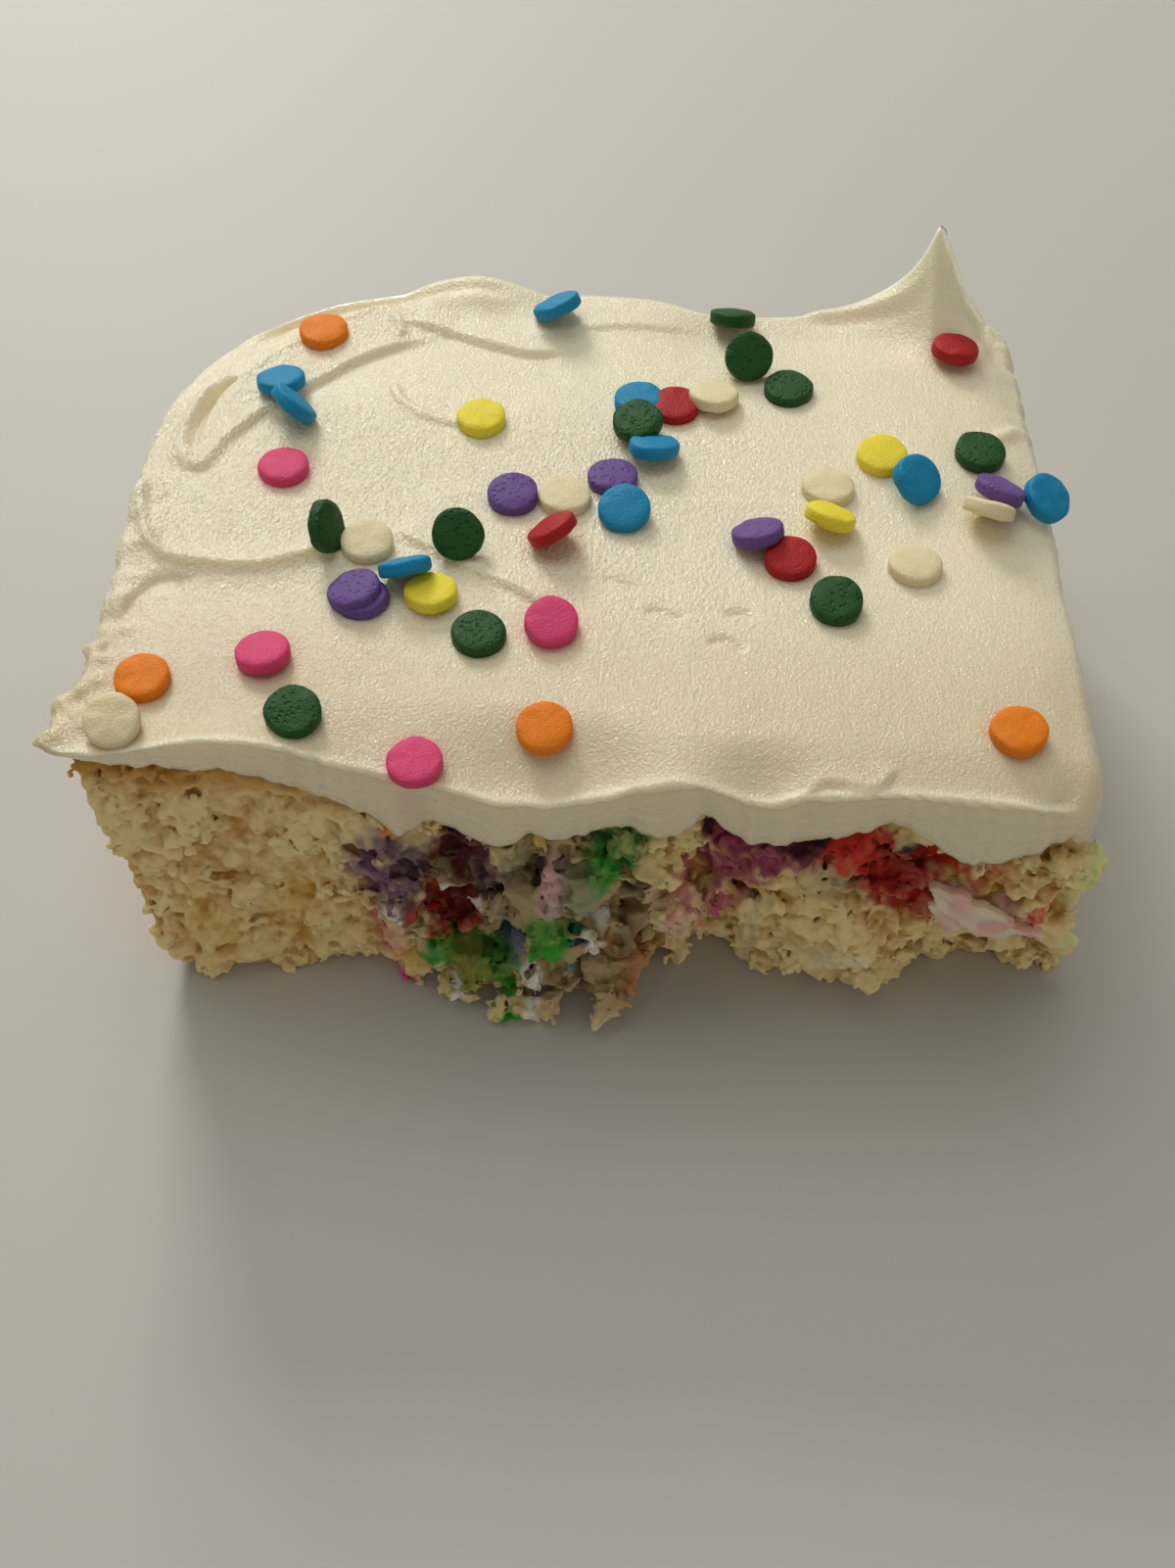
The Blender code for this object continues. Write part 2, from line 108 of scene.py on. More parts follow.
# Clumps that stand clear of the tear: x, z, how far out, radius. Each blends into the crumb
# over CLUMP_BLEND, and nothing further from it than CLUMP_REACH is touched
CLUMP_BLEND, CLUMP_REACH = 0.7, 6
CLUMPS = (
    (-17.5, 13.2, 0.7, 1.1), (-12.3, 17.6, 0.2, 1.5), (-9.8, 14.2, 0.4, 1.0), (-13.6, 5.8, 1.2, 0.9),
    (-11.4, 2.4, 1.4, 1.2), (-6.2, 1.2, 2.2, 1.2), (-4.2, 4.2, 1.5, 1.0), (-3.6, 1.2, 1.8, 1.1),
    (1.6, 14.2, 1.4, 1.5), (3.6, 10.6, 1.6, 1.8), (2.6, 2.0, 1.6, 1.6), (0.4, 19.0, 1.1, 1.8),
    (-2.2, 12.2, 0.9, 1.9), (-0.9, 8.6, 0.6, 1.6), (8.6, 11.0, 1.2, 1.9), (9.6, 16.0, 1.0, 2.2),
    (6.4, 7.0, 1.0, 1.4), (7.2, 20.0, 0.8, 1.7), (45.2, 24.0, 0.0, 1.6), (45.4, 14.0, 0.6, 1.2),
    (46.4, 8.0, 0.6, 1.2), (28.4, 3.6, 0.8, 1.2), (20.2, 5.2, 0.6, 1.6), (-36.5, 3.6, 0.8, 1.1),
    (-25.6, 8.0, 0.6, 1.3), (-31.0, 14.0, 0.4, 1.6), (-27.0, 20.0, 0.3, 1.4), (-38.0, 12.0, 0.4, 1.5),
)

# Cells of the crumb: size, how deep they shape the surface. Each bulges from its seed, stands
# out by a share of its own number, and meets the next one at a border this wide
CRUMB_CELLS = ((3.8, 1.7), (1.8, 1.25), (0.95, 0.75), (0.6, 0.4))
CELL_BULGE, CELL_MEAN, CELL_SHARE, CELL_BORDER = 1.5, 0.42, 0.3, 0.3
# Clumps that the tear left standing out or pulled away, as wide as this and so far out or in
TORN_CELLS = ((3.1, 1.7), (1.5, 1.0))
TORN_OUT, TORN_MEAN = 2.1, 0.8
# How torn the front is along X, from 0 to 1
TORN_SHARE = ((-46, 0.22), (-24, 0.25), (-19, 0.6), (-14, 1.0), (8, 1.0), (14, 0.6), (21, 0.35),
              (29, 0.5), (34, 0.7), (44, 0.6), (48, 0.5))
PORE_SPACING, PORE_RADIUS, PORE_SHARE, PORE_MEAN = 2.6, 0.75, 1.4, 0.7
WARP_SIZE, WARP_REACH = 3.2, 0.8
RELIEF_BAND = 4.0
SKIN_RELIEF = 0.12

LATTICE = 64
dice = np.random.default_rng(7)
lattice_values = dice.random((LATTICE, LATTICE, LATTICE, 4)).astype(np.float32)


def along(points, at):
    """The smooth curve through (place, value) points: a cubic between each pair, whose slope
    at each point is that of the line between its two neighbours."""
    place, value = np.array(points, np.float64).T
    slope = np.empty_like(value)
    slope[1:-1] = (value[2:] - value[:-2]) / (place[2:] - place[:-2])
    slope[0] = (value[1] - value[0]) / (place[1] - place[0])
    slope[-1] = (value[-1] - value[-2]) / (place[-1] - place[-2])
    at = np.clip(at, place[0], place[-1])
    n = np.clip(np.searchsorted(place, at, side="right") - 1, 0, len(place) - 2)
    span = place[n + 1] - place[n]
    t = (at - place[n]) / span
    return ((2 * t**3 - 3 * t**2 + 1) * value[n] + (t**3 - 2 * t**2 + t) * slope[n] * span
            + (3 * t**2 - 2 * t**3) * value[n + 1] + (t**3 - t**2) * slope[n + 1] * span)


def ease(t):
    """0 below 0, 1 above 1, and 3 t^2 - 2 t^3 between."""
    t = np.clip(t, 0, 1)
    return t * t * (3 - 2 * t)


def bell(distance, width):
    """1 at no distance, falling away on both sides as exp(-(distance / width)^2)."""
    return np.exp(-(distance / width) ** 2)


def soft_max(a, b, blend):
    """The larger of a and b, rounded where they are within blend of each other: it adds
    (blend - |a - b|)^2 / (4 blend)."""
    near = np.maximum(blend - np.abs(a - b), 0)
    return np.maximum(a, b) + near * near / (4 * blend)


def soft_noise(p, size, layer=0):
    """Noise from -1 to 1 with waves of about size: random values on a lattice, blended by
    ease() along each axis."""
    scaled = p / size + 17.0 * (layer + 1)
    corner = np.floor(scaled).astype(np.int32)
    t = ease(scaled - corner)
    total = 0.0
    for step in np.ndindex(2, 2, 2):
        n = (corner + step) % LATTICE
        share = np.prod(np.where(step, t, 1 - t), axis=1)
        total = total + share * lattice_values[n[:, 0], n[:, 1], n[:, 2], layer % 4]
    return total * 2 - 1


def noise_vectors(p, size, first=0):
    """Three layers of noise side by side, to push points about."""
    return np.stack([soft_noise(p, size, first + n) for n in range(3)], 1)


def nearest_seed(p, size):
    """Distance to the nearest of the seeds scattered one to a lattice cell, in cells, a random
    number of that seed, and how much further the next one is: clumps grow round such seeds."""
    scaled = (p / size).astype(np.float32)
    corner = np.floor(scaled - 0.5).astype(np.int32)
    best = np.full(len(p), 9.0, np.float32)
    second = best.copy()
    own = np.zeros(len(p), np.float32)
    for step in np.ndindex(2, 2, 2):
        n = corner + np.array(step, np.int32)
        drawn = lattice_values[n[:, 0] % LATTICE, n[:, 1] % LATTICE, n[:, 2] % LATTICE]
        away = ((n + 0.15 + 0.7 * drawn[:, :3] - scaled) ** 2).sum(1)
        closer = away < best
        second = np.where(closer, best, np.minimum(second, away))
        best = np.where(closer, away, best)
        own = np.where(closer, drawn[:, 3], own)
    return np.sqrt(best), own, np.sqrt(second) - np.sqrt(best)


def sponge_top(x):
    """Height of the sponge: two straight slopes that meet at DOME_FOOT."""
    return DOME_FOOT_HEIGHT + np.where(x < DOME_FOOT, (DOME_FOOT - x) * DOME_SLOPE,
                                       (DOME_FOOT - x) * FLAT_SLOPE)


def torn_lumps(x, z):
    """The lumps and hollows of the tear: each adds a bell curve in x and z."""
    out = 0 * x
    for lump_x, lump_z, half_width, half_height, rise in TORN_LUMPS:
        out += rise * np.exp(-((x - lump_x) / half_width) ** 2 - ((z - lump_z) / half_height) ** 2)
    return out


def torn_front(x, z):
    """How far the torn crumb stands out of the front cut: its foot is set back by a power of
    the height, and the lumps are added."""
    foot = along(FOOT_SETBACK, x) * np.clip(1 - z / DOME_FOOT_HEIGHT, 0, 1) ** 1.2
    return torn_lumps(x, z) - foot - along(FRONT_WAVE, x)


def iced(x, z):
    """1 behind the icing's front face and 0 below its lower edge."""
    return ease((z - along(LOWER_EDGE, x) + 0.9) / 1.2)


def sponge_sides(x, y, z):
    """Distances past the pan's sides, the front cut, the right cut, the top and the base.
    The pan's two sides lean in by their draft and meet in a quarter circle."""
    fraction = np.clip(z / DOME_FOOT_HEIGHT, 0, 1.2)
    sunk = np.clip(PAN_FLOOR_RADIUS - z, 0, PAN_FLOOR_RADIUS)
    drawn_in = PAN_DRAFT * (1 - fraction)
    drawn_in += FLOOR_ROUNDING * (PAN_FLOOR_RADIUS - np.sqrt(PAN_FLOOR_RADIUS**2 - sunk**2))
    past_left = -LENGTH / 2 + OVERHANG + drawn_in - x
    past_back = y - (DEPTH / 2 - OVERHANG - drawn_in)
    a, b = PAN_CORNER_RADIUS + past_left, PAN_CORNER_RADIUS + past_back
    pan = np.where((a > 0) & (b > 0), np.hypot(a, b) - PAN_CORNER_RADIUS,
                   np.maximum(past_left, past_back))
    front = -DEPTH / 2 + OVERHANG - torn_front(x, z) + UNDER_ICING * iced(x, z) - y
    flare = (CUT_FLARE + FRONT_FLARE * (0.5 - y / DEPTH)) * (1 - fraction)
    right = x - (LENGTH / 2 - OVERHANG + flare)
    return pan, front * 0.9, right, z - sponge_top(x) - STUCK, -z


def sponge_field(p):
    """Roughly the distance from the sponge's surface, negative inside. The plain form is cut
    from soft maxima of its sides. Near the surface, the cells of the crumb bulge from their
    seeds on a warped lattice, at each size of CRUMB_CELLS, clumps of TORN_CELLS are torn out
    or left standing, and pores are hollowed out between them."""
    x, y, z = p.T
    pan, front, right, top, base = sponge_sides(x, y, z)
    cut = soft_max(front, right, BETWEEN_CUTS)
    ends = soft_max(top, base + ALONG_BASE, ALONG_BASE)
    plain = soft_max(soft_max(cut, pan, CUT_TO_PAN), ends, ALONG_TOP)
    # Clumps are round blobs that stand on the tear
    for clump_x, clump_z, out, radius in CLUMPS:
        at = np.array([clump_x]), np.array([clump_z])
        clump_y = float(-DEPTH / 2 + OVERHANG - torn_front(*at)[0]) - out + radius * 0.5
        close = (np.abs(x - clump_x) < CLUMP_REACH) & (np.abs(z - clump_z) < CLUMP_REACH) & (y < -15)
        away = np.sqrt((x[close] - clump_x) ** 2 + (y[close] - clump_y) ** 2
                       + (z[close] - clump_z) ** 2) - radius
        plain[close] = -soft_max(-plain[close], -away, CLUMP_BLEND)
    near = (np.abs(plain) < RELIEF_BAND) & (top < 1.0)
    q = p[near]
    crust = np.maximum(pan, base)[near] - cut[near]
    openness = ease((0.9 - crust) / 1.6)
    openness = SKIN_RELIEF + (1 - SKIN_RELIEF) * openness
    bare = 1 - 0.85 * iced(q[:, 0], q[:, 2])
    torn = along(TORN_SHARE, q[:, 0]) * ease((-22 - q[:, 1]) / 6) * bare
    warp = noise_vectors(q, WARP_SIZE) * WARP_REACH
    warp += noise_vectors(q, WARP_SIZE / 4, 3) * WARP_REACH / 7
    warped = (q + warp).astype(np.float32)
    relief = np.zeros(len(q), np.float32)
    for n, (size, depth) in enumerate(CRUMB_CELLS):
        distance, own, gap = nearest_seed(warped + 31.7 * n, size)
        bulge = CELL_BULGE * distance**2 - CELL_MEAN + CELL_SHARE * (own - 0.5) * ease(gap / CELL_BORDER)
        relief += depth * bulge * (0.62 + 0.58 * torn)
    for n, (size, depth) in enumerate(TORN_CELLS):
        _, own, gap = nearest_seed(warped + 11.3 * n, size)
        relief += depth * torn * (TORN_OUT * own - TORN_MEAN) * ease(gap / CELL_BORDER)
    shaped = plain[near] + relief * openness * bare
    distance, own, _ = nearest_seed(warped * (1, 1, 1.15) + 5.3, PORE_SPACING)
    pore = PORE_RADIUS * (PORE_SHARE * own - PORE_MEAN) * openness * bare - distance * PORE_SPACING
    shaped = soft_max(shaped, np.where(openness * bare > 0.3, pore, -9.0), 0.2)
    field = plain.copy()
    field[near] = shaped
    return np.maximum(field, base)


def net_of(field_of, low, high, step):
    """The closed surface where a field is zero inside a box, by surface nets: each grid cell
    that the surface crosses gets one point, the mean of its edge crossings, and each grid
    edge that it crosses joins the points of the four cells round it."""
    low, high = np.array(low, np.float32), np.array(high, np.float32)
    ticks = [np.arange(low[axis] - 2 * step, high[axis] + 3 * step, step) for axis in range(3)]
    grid = np.stack(np.meshgrid(*ticks, indexing="ij"), -1).astype(np.float32)
    field = field_of(grid.reshape(-1, 3)).reshape(grid.shape[:3])
    field = np.maximum(field, np.maximum(low - grid, grid - high).max(-1))
    inside = field < 0
    corners = np.array(list(np.ndindex(2, 2, 2)))
    cells = tuple(np.array(inside.shape) - 1)
    filled = sum(inside[i:i + cells[0], j:j + cells[1], k:k + cells[2]].astype(np.int8)
                 for i, j, k in corners)
    crossed = (filled > 0) & (filled < 8)
    cell = np.argwhere(crossed)
    number = np.full(cells, -1, np.int64)
    number[crossed] = np.arange(len(cell))
    value = np.stack([field[tuple((cell + corner).T)] for corner in corners], 1)
    total, count = np.zeros((len(cell), 3)), np.zeros((len(cell), 1))
    pairs = [(a, b) for a in range(8) for b in range(a) if np.abs(corners[a] - corners[b]).sum() == 1]
    for a, b in pairs:
        crosses = ((value[:, a] < 0) != (value[:, b] < 0))[:, None]
        gap = np.where(crosses, (value[:, a] - value[:, b])[:, None], 1)
        point = corners[a] + value[:, a][:, None] / gap * (corners[b] - corners[a])
        total += np.where(crosses, point, 0)
        count += crosses
    points = grid[0, 0, 0] + (cell + total / count) * step
    faces = []
    for axis in range(3):
        b, c = np.eye(3, dtype=int)[(axis + 1) % 3], np.eye(3, dtype=int)[(axis + 2) % 3]
        first = np.take(inside, range(cells[axis]), axis)
        second = np.take(inside, range(1, cells[axis] + 1), axis)
        edge = np.argwhere(first != second)
        ring = [number[tuple((edge - b - c).T)], number[tuple((edge - c).T)],
                number[tuple(edge.T)], number[tuple((edge - b).T)]]
        quad = np.stack(ring, 1)
        outward = first[tuple(edge.T)]
        faces.append(np.where(outward[:, None], quad, quad[:, ::-1]))
    return largest_shell(points, np.concatenate(faces))


def largest_shell(points, faces):
    """Keeps the largest connected shell. Every point takes the lowest label round it, and
    each label is followed to its own label, until nothing changes."""
    label = np.arange(len(points))
    a, b = faces.ravel(), np.roll(faces, 1, axis=1).ravel()
    while True:
        lowest = np.minimum(label[a], label[b])
        lower = label.copy()
        np.minimum.at(lower, label[a], lowest)
        np.minimum.at(lower, label[b], lowest)
        lower = lower[lower][lower]
        if np.array_equal(lower, label):
            break
        label = lower
    root, count = np.unique(label[faces[:, 0]], return_counts=True)
    keep = label == root[count.argmax()]
    renumber = np.cumsum(keep) - 1
    return points[keep], renumber[faces[keep[faces[:, 0]]]]


def new_piece(name, points, faces, material):
    """Puts points in millimetres and faces of equal length into a mesh, shaded smooth, that
    rides on the one body. Several arrays of faces, as quads and triangles, may be given."""
    groups = faces if isinstance(faces, list) else [faces]
    mesh = bpy.data.meshes.new(name)
    mesh.vertices.add(len(points))
    mesh.vertices.foreach_set("co", (np.asarray(points, np.float64) * MM).astype(np.float32).ravel())
    corners = np.concatenate([group.ravel() for group in groups])
    sizes = np.concatenate([np.full(len(group), group.shape[1]) for group in groups])
    mesh.loops.add(len(corners))
    mesh.loops.foreach_set("vertex_index", corners.astype(np.int32))
    mesh.polygons.add(len(sizes))
    mesh.polygons.foreach_set("loop_start", (np.cumsum(sizes) - sizes).astype(np.int32))
    mesh.polygons.foreach_set("use_smooth", np.ones(len(sizes), bool))
    mesh.update(calc_edges=True)
    mesh.materials.append(material)
    piece = bpy.data.objects.new(name, mesh)
    bpy.context.scene.collection.objects.link(piece)
    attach(piece, "root")
    return piece


def paint(piece, name, colours):
    """Gives each point of a piece its own linear colour, as an attribute."""
    rgba = np.ones((len(colours), 4), np.float32)
    rgba[:, :3] = colours
    layer = piece.data.color_attributes.new(name, "FLOAT_COLOR", "POINT")
    layer.data.foreach_set("color", rgba.ravel())


def linear(hex_colour):
    """Linear RGB of an sRGB hex value: c / 12.92 below 0.04045, and above that
    ((c + 0.055) / 1.055)^2.4."""
    channels = np.array([int(hex_colour[n:n + 2], 16) for n in (0, 2, 4)]) / 255
    return np.where(channels < 0.04045, channels / 12.92, ((channels + 0.055) / 1.055) ** 2.4)


def stained(colours, share, hex_colour):
    """The colours of some points, each moved by its share of the way to another colour."""
    return colours + share[:, None] * (linear(hex_colour) - colours)


def add_node(material, kind, inputs=None, **settings):
    """Adds a shader node with its settings. An input is a value or another node's output."""
    node = material.node_tree.nodes.new("ShaderNode" + kind)
    for setting, value in settings.items():
        setattr(node, setting, value)
    for socket, value in (inputs or {}).items():
        if isinstance(value, bpy.types.NodeSocket):
            material.node_tree.links.new(value, node.inputs[socket])
        else:
            node.inputs[socket].default_value = value
    return node


def new_material(name):
    """A material without any nodes."""
    material = bpy.data.materials.new(name)
    material.use_nodes = True
    material.node_tree.nodes.clear()
    return material


# The crumb's own light colour, a darker and yellower one painted as its shade where it lies back, and a dark
# grey brown that is partly the run dyes' tint and partly painted shade
CRUMB_LIGHT, CRUMB_SHADED, CRUMB_GREY_AND_SHADE = "F0DBA0", "BE8C34", "7A6452"
PAN_SKIN, PAN_EDGE, TOP_CRUST = "E0B870", "CC9640", "C89840"
DYE_COLOURS = {
    "purple": "64466E", "mauve": "8A6480", "crimson": "86183A", "deep red": "A40E12",
    "red": "DE2C1C", "pink": "DE5C8E", "hot pink": "E0408C", "orange": "EE9A2E",
    "yellow": "D6B63A",
    "green": "1E9028", "vivid green": "10A01C", "dark green": "1F7A2C", "grey green": "93A07A",
    "olive": "85862A", "teal": "2A7E9C", "blue grey": "66788E", "white": "F4F1E8",
    "pale pink": "E6B8BC", "maroon and shade": "4E1024", "magenta": "9E2E60", "brick": "C4694E",
    "painted gap shade": "1C1424", "cream": "F8EDC8", "gold": "C8903A", "straw": "D8B044", "tan": "C08A52",
    "pale green": "BFD88E",
}
# Melted sprinkles on the front cut, and painted shade in its deepest gaps and, with a maroon dye, under the
# icing's edge: x, z, half width, half height, dye, strength
DYES = (
    (-19.0, 18.0, 3.0, 5.5, "mauve", 0.75), (-16.6, 17.5, 3.4, 5.6, "purple", 0.8),
    (-18.2, 6.2, 2.0, 3.6, "pink", 0.6), (-16.2, 4.6, 1.7, 2.0, "yellow", 0.7),
    (-17.2, 1.2, 1.3, 1.1, "hot pink", 0.9), (-10.6, 21.0, 3.4, 3.2, "crimson", 0.95),
    (-12.6, 12.2, 3.4, 4.2, "deep red", 1.0), (-8.5, 17.5, 2.0, 2.4, "mauve", 0.6),
    (-13.6, 7.0, 2.2, 2.2, "green", 0.95), (-8.4, 6.4, 2.6, 3.0, "green", 0.9),
    (-10.6, 4.6, 1.9, 2.6, "olive", 0.9), (-6.0, 9.6, 1.5, 2.8, "blue grey", 0.8),
    (0.4, 9.0, 2.4, 2.2, "teal", 0.85), (-2.4, 12.4, 2.3, 3.4, "vivid green", 0.9),
    (-2.2, 18.6, 1.4, 3.2, "pale pink", 0.85), (-6.4, 21.5, 2.0, 3.8, "grey green", 0.5),
    (-16.6, 24.0, 1.0, 0.9, "orange", 1.0), (-3.2, 26.0, 1.3, 1.0, "yellow", 0.8),
    (3.2, 10.8, 1.7, 1.8, "tan", 0.8), (3.4, 24.2, 2.8, 3.6, "dark green", 0.95),
    (2.2, 21.0, 2.0, 1.6, "vivid green", 0.8), (0.2, 18.4, 1.6, 3.2, "grey green", 0.8),
    (-6.4, 1.0, 1.4, 1.8, "vivid green", 1.0), (-4.4, 3.6, 1.0, 3.2, "white", 1.0),
    (8.8, 14.0, 2.2, 5.6, "pale pink", 0.4), (9.2, 18.4, 1.4, 1.6, "pink", 0.5),
    (5.0, 4.6, 1.8, 3.0, "tan", 0.5), (6.2, 5.0, 1.6, 2.4, "brick", 0.4),
    (13.6, 20.0, 3.0, 5.2, "magenta", 0.9), (13.0, 13.0, 1.6, 3.4, "hot pink", 0.7),
    # The maroon band under the icing's edge is partly a melted sprinkle and partly painted shade; the near
    # black patches are painted shade in gaps
    (18.0, 23.4, 3.8, 2.2, "magenta", 0.9), (20.5, 25.2, 6.6, 1.5, "maroon and shade", 1.0),
    (13.4, 24.8, 2.0, 1.5, "painted gap shade", 1.0), (0.3, 24.8, 1.0, 1.7, "painted gap shade", 1.0),
    (5.0, 17.2, 1.3, 2.4, "painted gap shade", 0.8), (-11.6, 22.6, 1.3, 1.2, "painted gap shade", 0.8),
    (24.0, 8.4, 5.0, 3.6, "cream", 0.5), (-33.0, 29.4, 10.0, 1.6, "gold", 0.5),
    (-40.5, 30.5, 3.4, 2.0, "gold", 0.6), (-28.0, 10.0, 3.0, 6.0, "straw", 0.4),
    (-36.0, 8.0, 3.0, 6.0, "straw", 0.4), (25.2, 24.0, 2.6, 3.8, "red", 0.95),
    (28.4, 20.6, 3.2, 3.0, "red", 0.9), (31.4, 18.6, 4.0, 5.0, "deep red", 1.0),
    # The near black patch here is painted shade in a gap
    (34.0, 21.5, 2.6, 2.4, "red", 0.7), (30.4, 23.8, 1.7, 1.3, "painted gap shade", 0.95),
    (37.2, 20.0, 2.4, 3.2, "brick", 0.75), (43.3, 13.6, 1.2, 2.2, "red", 0.9),
    (46.2, 24.4, 1.4, 2.2, "pale green", 0.7), (46.4, 13.6, 1.2, 1.6, "pale green", 0.45),
    (47.2, 8.0, 1.2, 1.4, "pale green", 0.5), (-17.6, 13.2, 0.9, 0.5, "white", 1.0),
    (-12.6, 15.8, 1.1, 0.8, "white", 1.0), (-9.8, 14.4, 0.9, 0.8, "white", 0.9),
    (-13.8, 5.8, 0.8, 0.7, "white", 1.0), (-11.4, 2.6, 0.9, 0.9, "white", 0.9),
    (1.8, 14.2, 1.4, 1.2, "white", 0.9), (2.6, 1.8, 1.6, 1.4, "white", 0.5),
    (38.0, 13.2, 4.4, 1.8, "pale pink", 0.85), (34.6, 16.0, 1.4, 2.2, "white", 0.9),
)


def dyes_and_shade_middle(x, z):
    """1.2 in the middle of the torn front and at its upper right, and less around: there the dyes ran into
    each other, and the crumb is painted greyer and darker as shade."""
    middle = np.hypot((x + 4) / 15, (z - 13) / 15)
    upper_right = np.hypot((x - 28) / 9, (z - 22) / 5)
    return 1.2 - np.minimum(middle, upper_right)


def crumb_colours(points):
    """The crumb is paler on what stands out, and painted darker and yellower as shade where it lies back
    from the cut and in its hollows; golden where it touched the pan and brown along its top edge. Each
    melted sprinkle stains an oval whose border wanders by noise, and whose driest clumps stay pale."""
    p = points.astype(np.float32)
    x, y, z = p.T
    pan, front, right, top, base = sponge_sides(x, y, z)
    cut = np.maximum(front, right)
    fine, coarse = soft_noise(p, 0.7, 2), soft_noise(p, 4.5, 3)
    warped = p + noise_vectors(p, 1.1) * 0.6
    _, clump, _ = nearest_seed(warped, 1.5)
    _, grain, _ = nearest_seed(warped + 9.1, 0.7)
    # Painted shade: the crumb is darker and yellower where it lies back from the cut, with a random tone
    # from noise and grains
    out = ease((cut + 1.6) / 2.2 + 0.2 * fine + 0.14 * coarse + 0.3 * (grain - 0.5))
    colour = stained(linear(CRUMB_SHADED), out, CRUMB_LIGHT)
    # The middle of the tear is greyed towards a dark grey brown, partly the run dyes' own tint and partly
    # painted shade, and its hollows get painted shade below
    on_front = ease((-12 - y) / 6)
    greyed_and_shaded = ease((dyes_and_shade_middle(x, z) + 0.3 * coarse) / 0.9) * on_front
    colour = stained(colour, 0.6 * greyed_and_shaded, CRUMB_GREY_AND_SHADE)
    wander = 0.34 * soft_noise(p, 2.4, 0) + 0.3 * soft_noise(p, 0.9, 1) + 0.5 * (clump - 0.5)
    # About a third of the clumps, and a quarter of the grains, took up little dye
    dry = ease((clump - 0.62) / 0.1) * 0.55 + ease((grain - 0.72) / 0.1) * 0.45
    for dye_x, dye_z, half_width, half_height, dye, strength in DYES:
        across = np.hypot((x - dye_x) / half_width, (z - dye_z) / half_height)
        spread = ease((1.25 - across + wander) / 0.6) * on_front
        share = strength * spread * (1 - dry * (1.25 - strength) * out)
        colour = stained(colour, share, DYE_COLOURS[dye])
    # Painted shade: the hollows in the middle of the tear are darkened
    shaded_hollow = np.maximum(1 - out, ease((-torn_lumps(x, z) - 0.6) / 2.6))
    colour *= (1 - 0.75 * greyed_and_shaded * shaded_hollow)[:, None]
    towards_pan = pan - cut
    left = ease((-8 - x) / 34)
    crusts = (
        (ease((towards_pan + 0.9 + 0.6 * coarse) / 1.3) * (0.85 + 0.15 * fine), PAN_SKIN),
        (0.9 * ease((base - np.maximum(cut, pan) + 1.0) / 1.2), PAN_SKIN),
        ((0.15 + 0.75 * left) * ease((top + 2.3 + 0.9 * coarse + 0.5 * fine) / 1.6), TOP_CRUST),
        (0.8 * ease((towards_pan + 0.8) / 1.6) * ease((top + 3.2 + coarse) / 3.0), PAN_EDGE),
    )
    for share, crust_colour in crusts:
        colour = stained(colour, share, crust_colour)
    return colour


# Baked crumb: starch and egg foam, torn. It is matte and lets light a millimetre or so in,
# which softens the small clumps, and its finest grains are bump.
GRAIN_MM = 0.22
crumb_material = new_material("baked butter sponge")
coordinates = add_node(crumb_material, "TexCoord").outputs["Object"]
crumb_tint = add_node(crumb_material, "Attribute", attribute_name="stained_and_shaded_crumb")
grain = add_node(crumb_material, "TexNoise", {
    "Vector": coordinates, "Scale": 1 / (GRAIN_MM * 3 * MM), "Detail": 4.0, "Roughness": 0.65})
mottled = add_node(crumb_material, "Mix", {
    "Factor": 0.3, "A": crumb_tint.outputs["Color"], "B": grain.outputs["Color"]},
    data_type="RGBA", blend_type="SOFT_LIGHT")
rough = add_node(crumb_material, "Bump", {
    "Height": grain.outputs["Fac"], "Strength": 0.6, "Distance": GRAIN_MM * MM})
crumb_shader = add_node(crumb_material, "BsdfPrincipled", {
    "Base Color": mottled.outputs["Result"], "Roughness": 0.72, "IOR": 1.45,
    "Specular IOR Level": 0.3, "Normal": rough.outputs["Normal"], "Subsurface Weight": 0.65,
    "Subsurface Radius": (1.0, 0.72, 0.42), "Subsurface Scale": 0.7 * MM})
add_node(crumb_material, "OutputMaterial", {"Surface": crumb_shader.outputs["BSDF"]})

# Each block of the crumb: name, low corner, high corner, and how fine its net is. They overlap
# by SEAM, so that no line shows where a fine and a coarse net meet
SEAM = 1.2
BLOCKS = (
    ("sponge_torn_left", (-48, -40, -1), (-16 + SEAM, -24, 36), 0.26),
    ("sponge_torn_middle", (-16, -40, -1), (16 + SEAM, -24, 36), 0.26),
    ("sponge_torn_right", (16, -40, -1), (52, -24, 36), 0.26),
    ("sponge_right_cut", (34, -24 - SEAM, -1), (52, 35, 36), 0.36),
    ("sponge_pan_side", (-48, -24 - SEAM, -1), (34 + SEAM, 35, 36), 0.48),
)
for name, low, high, step in BLOCKS:
    points, faces = net_of(sponge_field, low, high, step)
    block = new_piece(name, points, faces, crumb_material)
    paint(block, "stained_and_shaded_crumb", crumb_colours(points))
    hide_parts("sponge")

# The icing: whipped butter and sugar, spread thick and level with a palette knife that left
# bands, steps and lips where a stroke ended, and drew up a point at the back right. The
# front was cut with the sponge, so it is a smooth face there; the other sides are ragged.

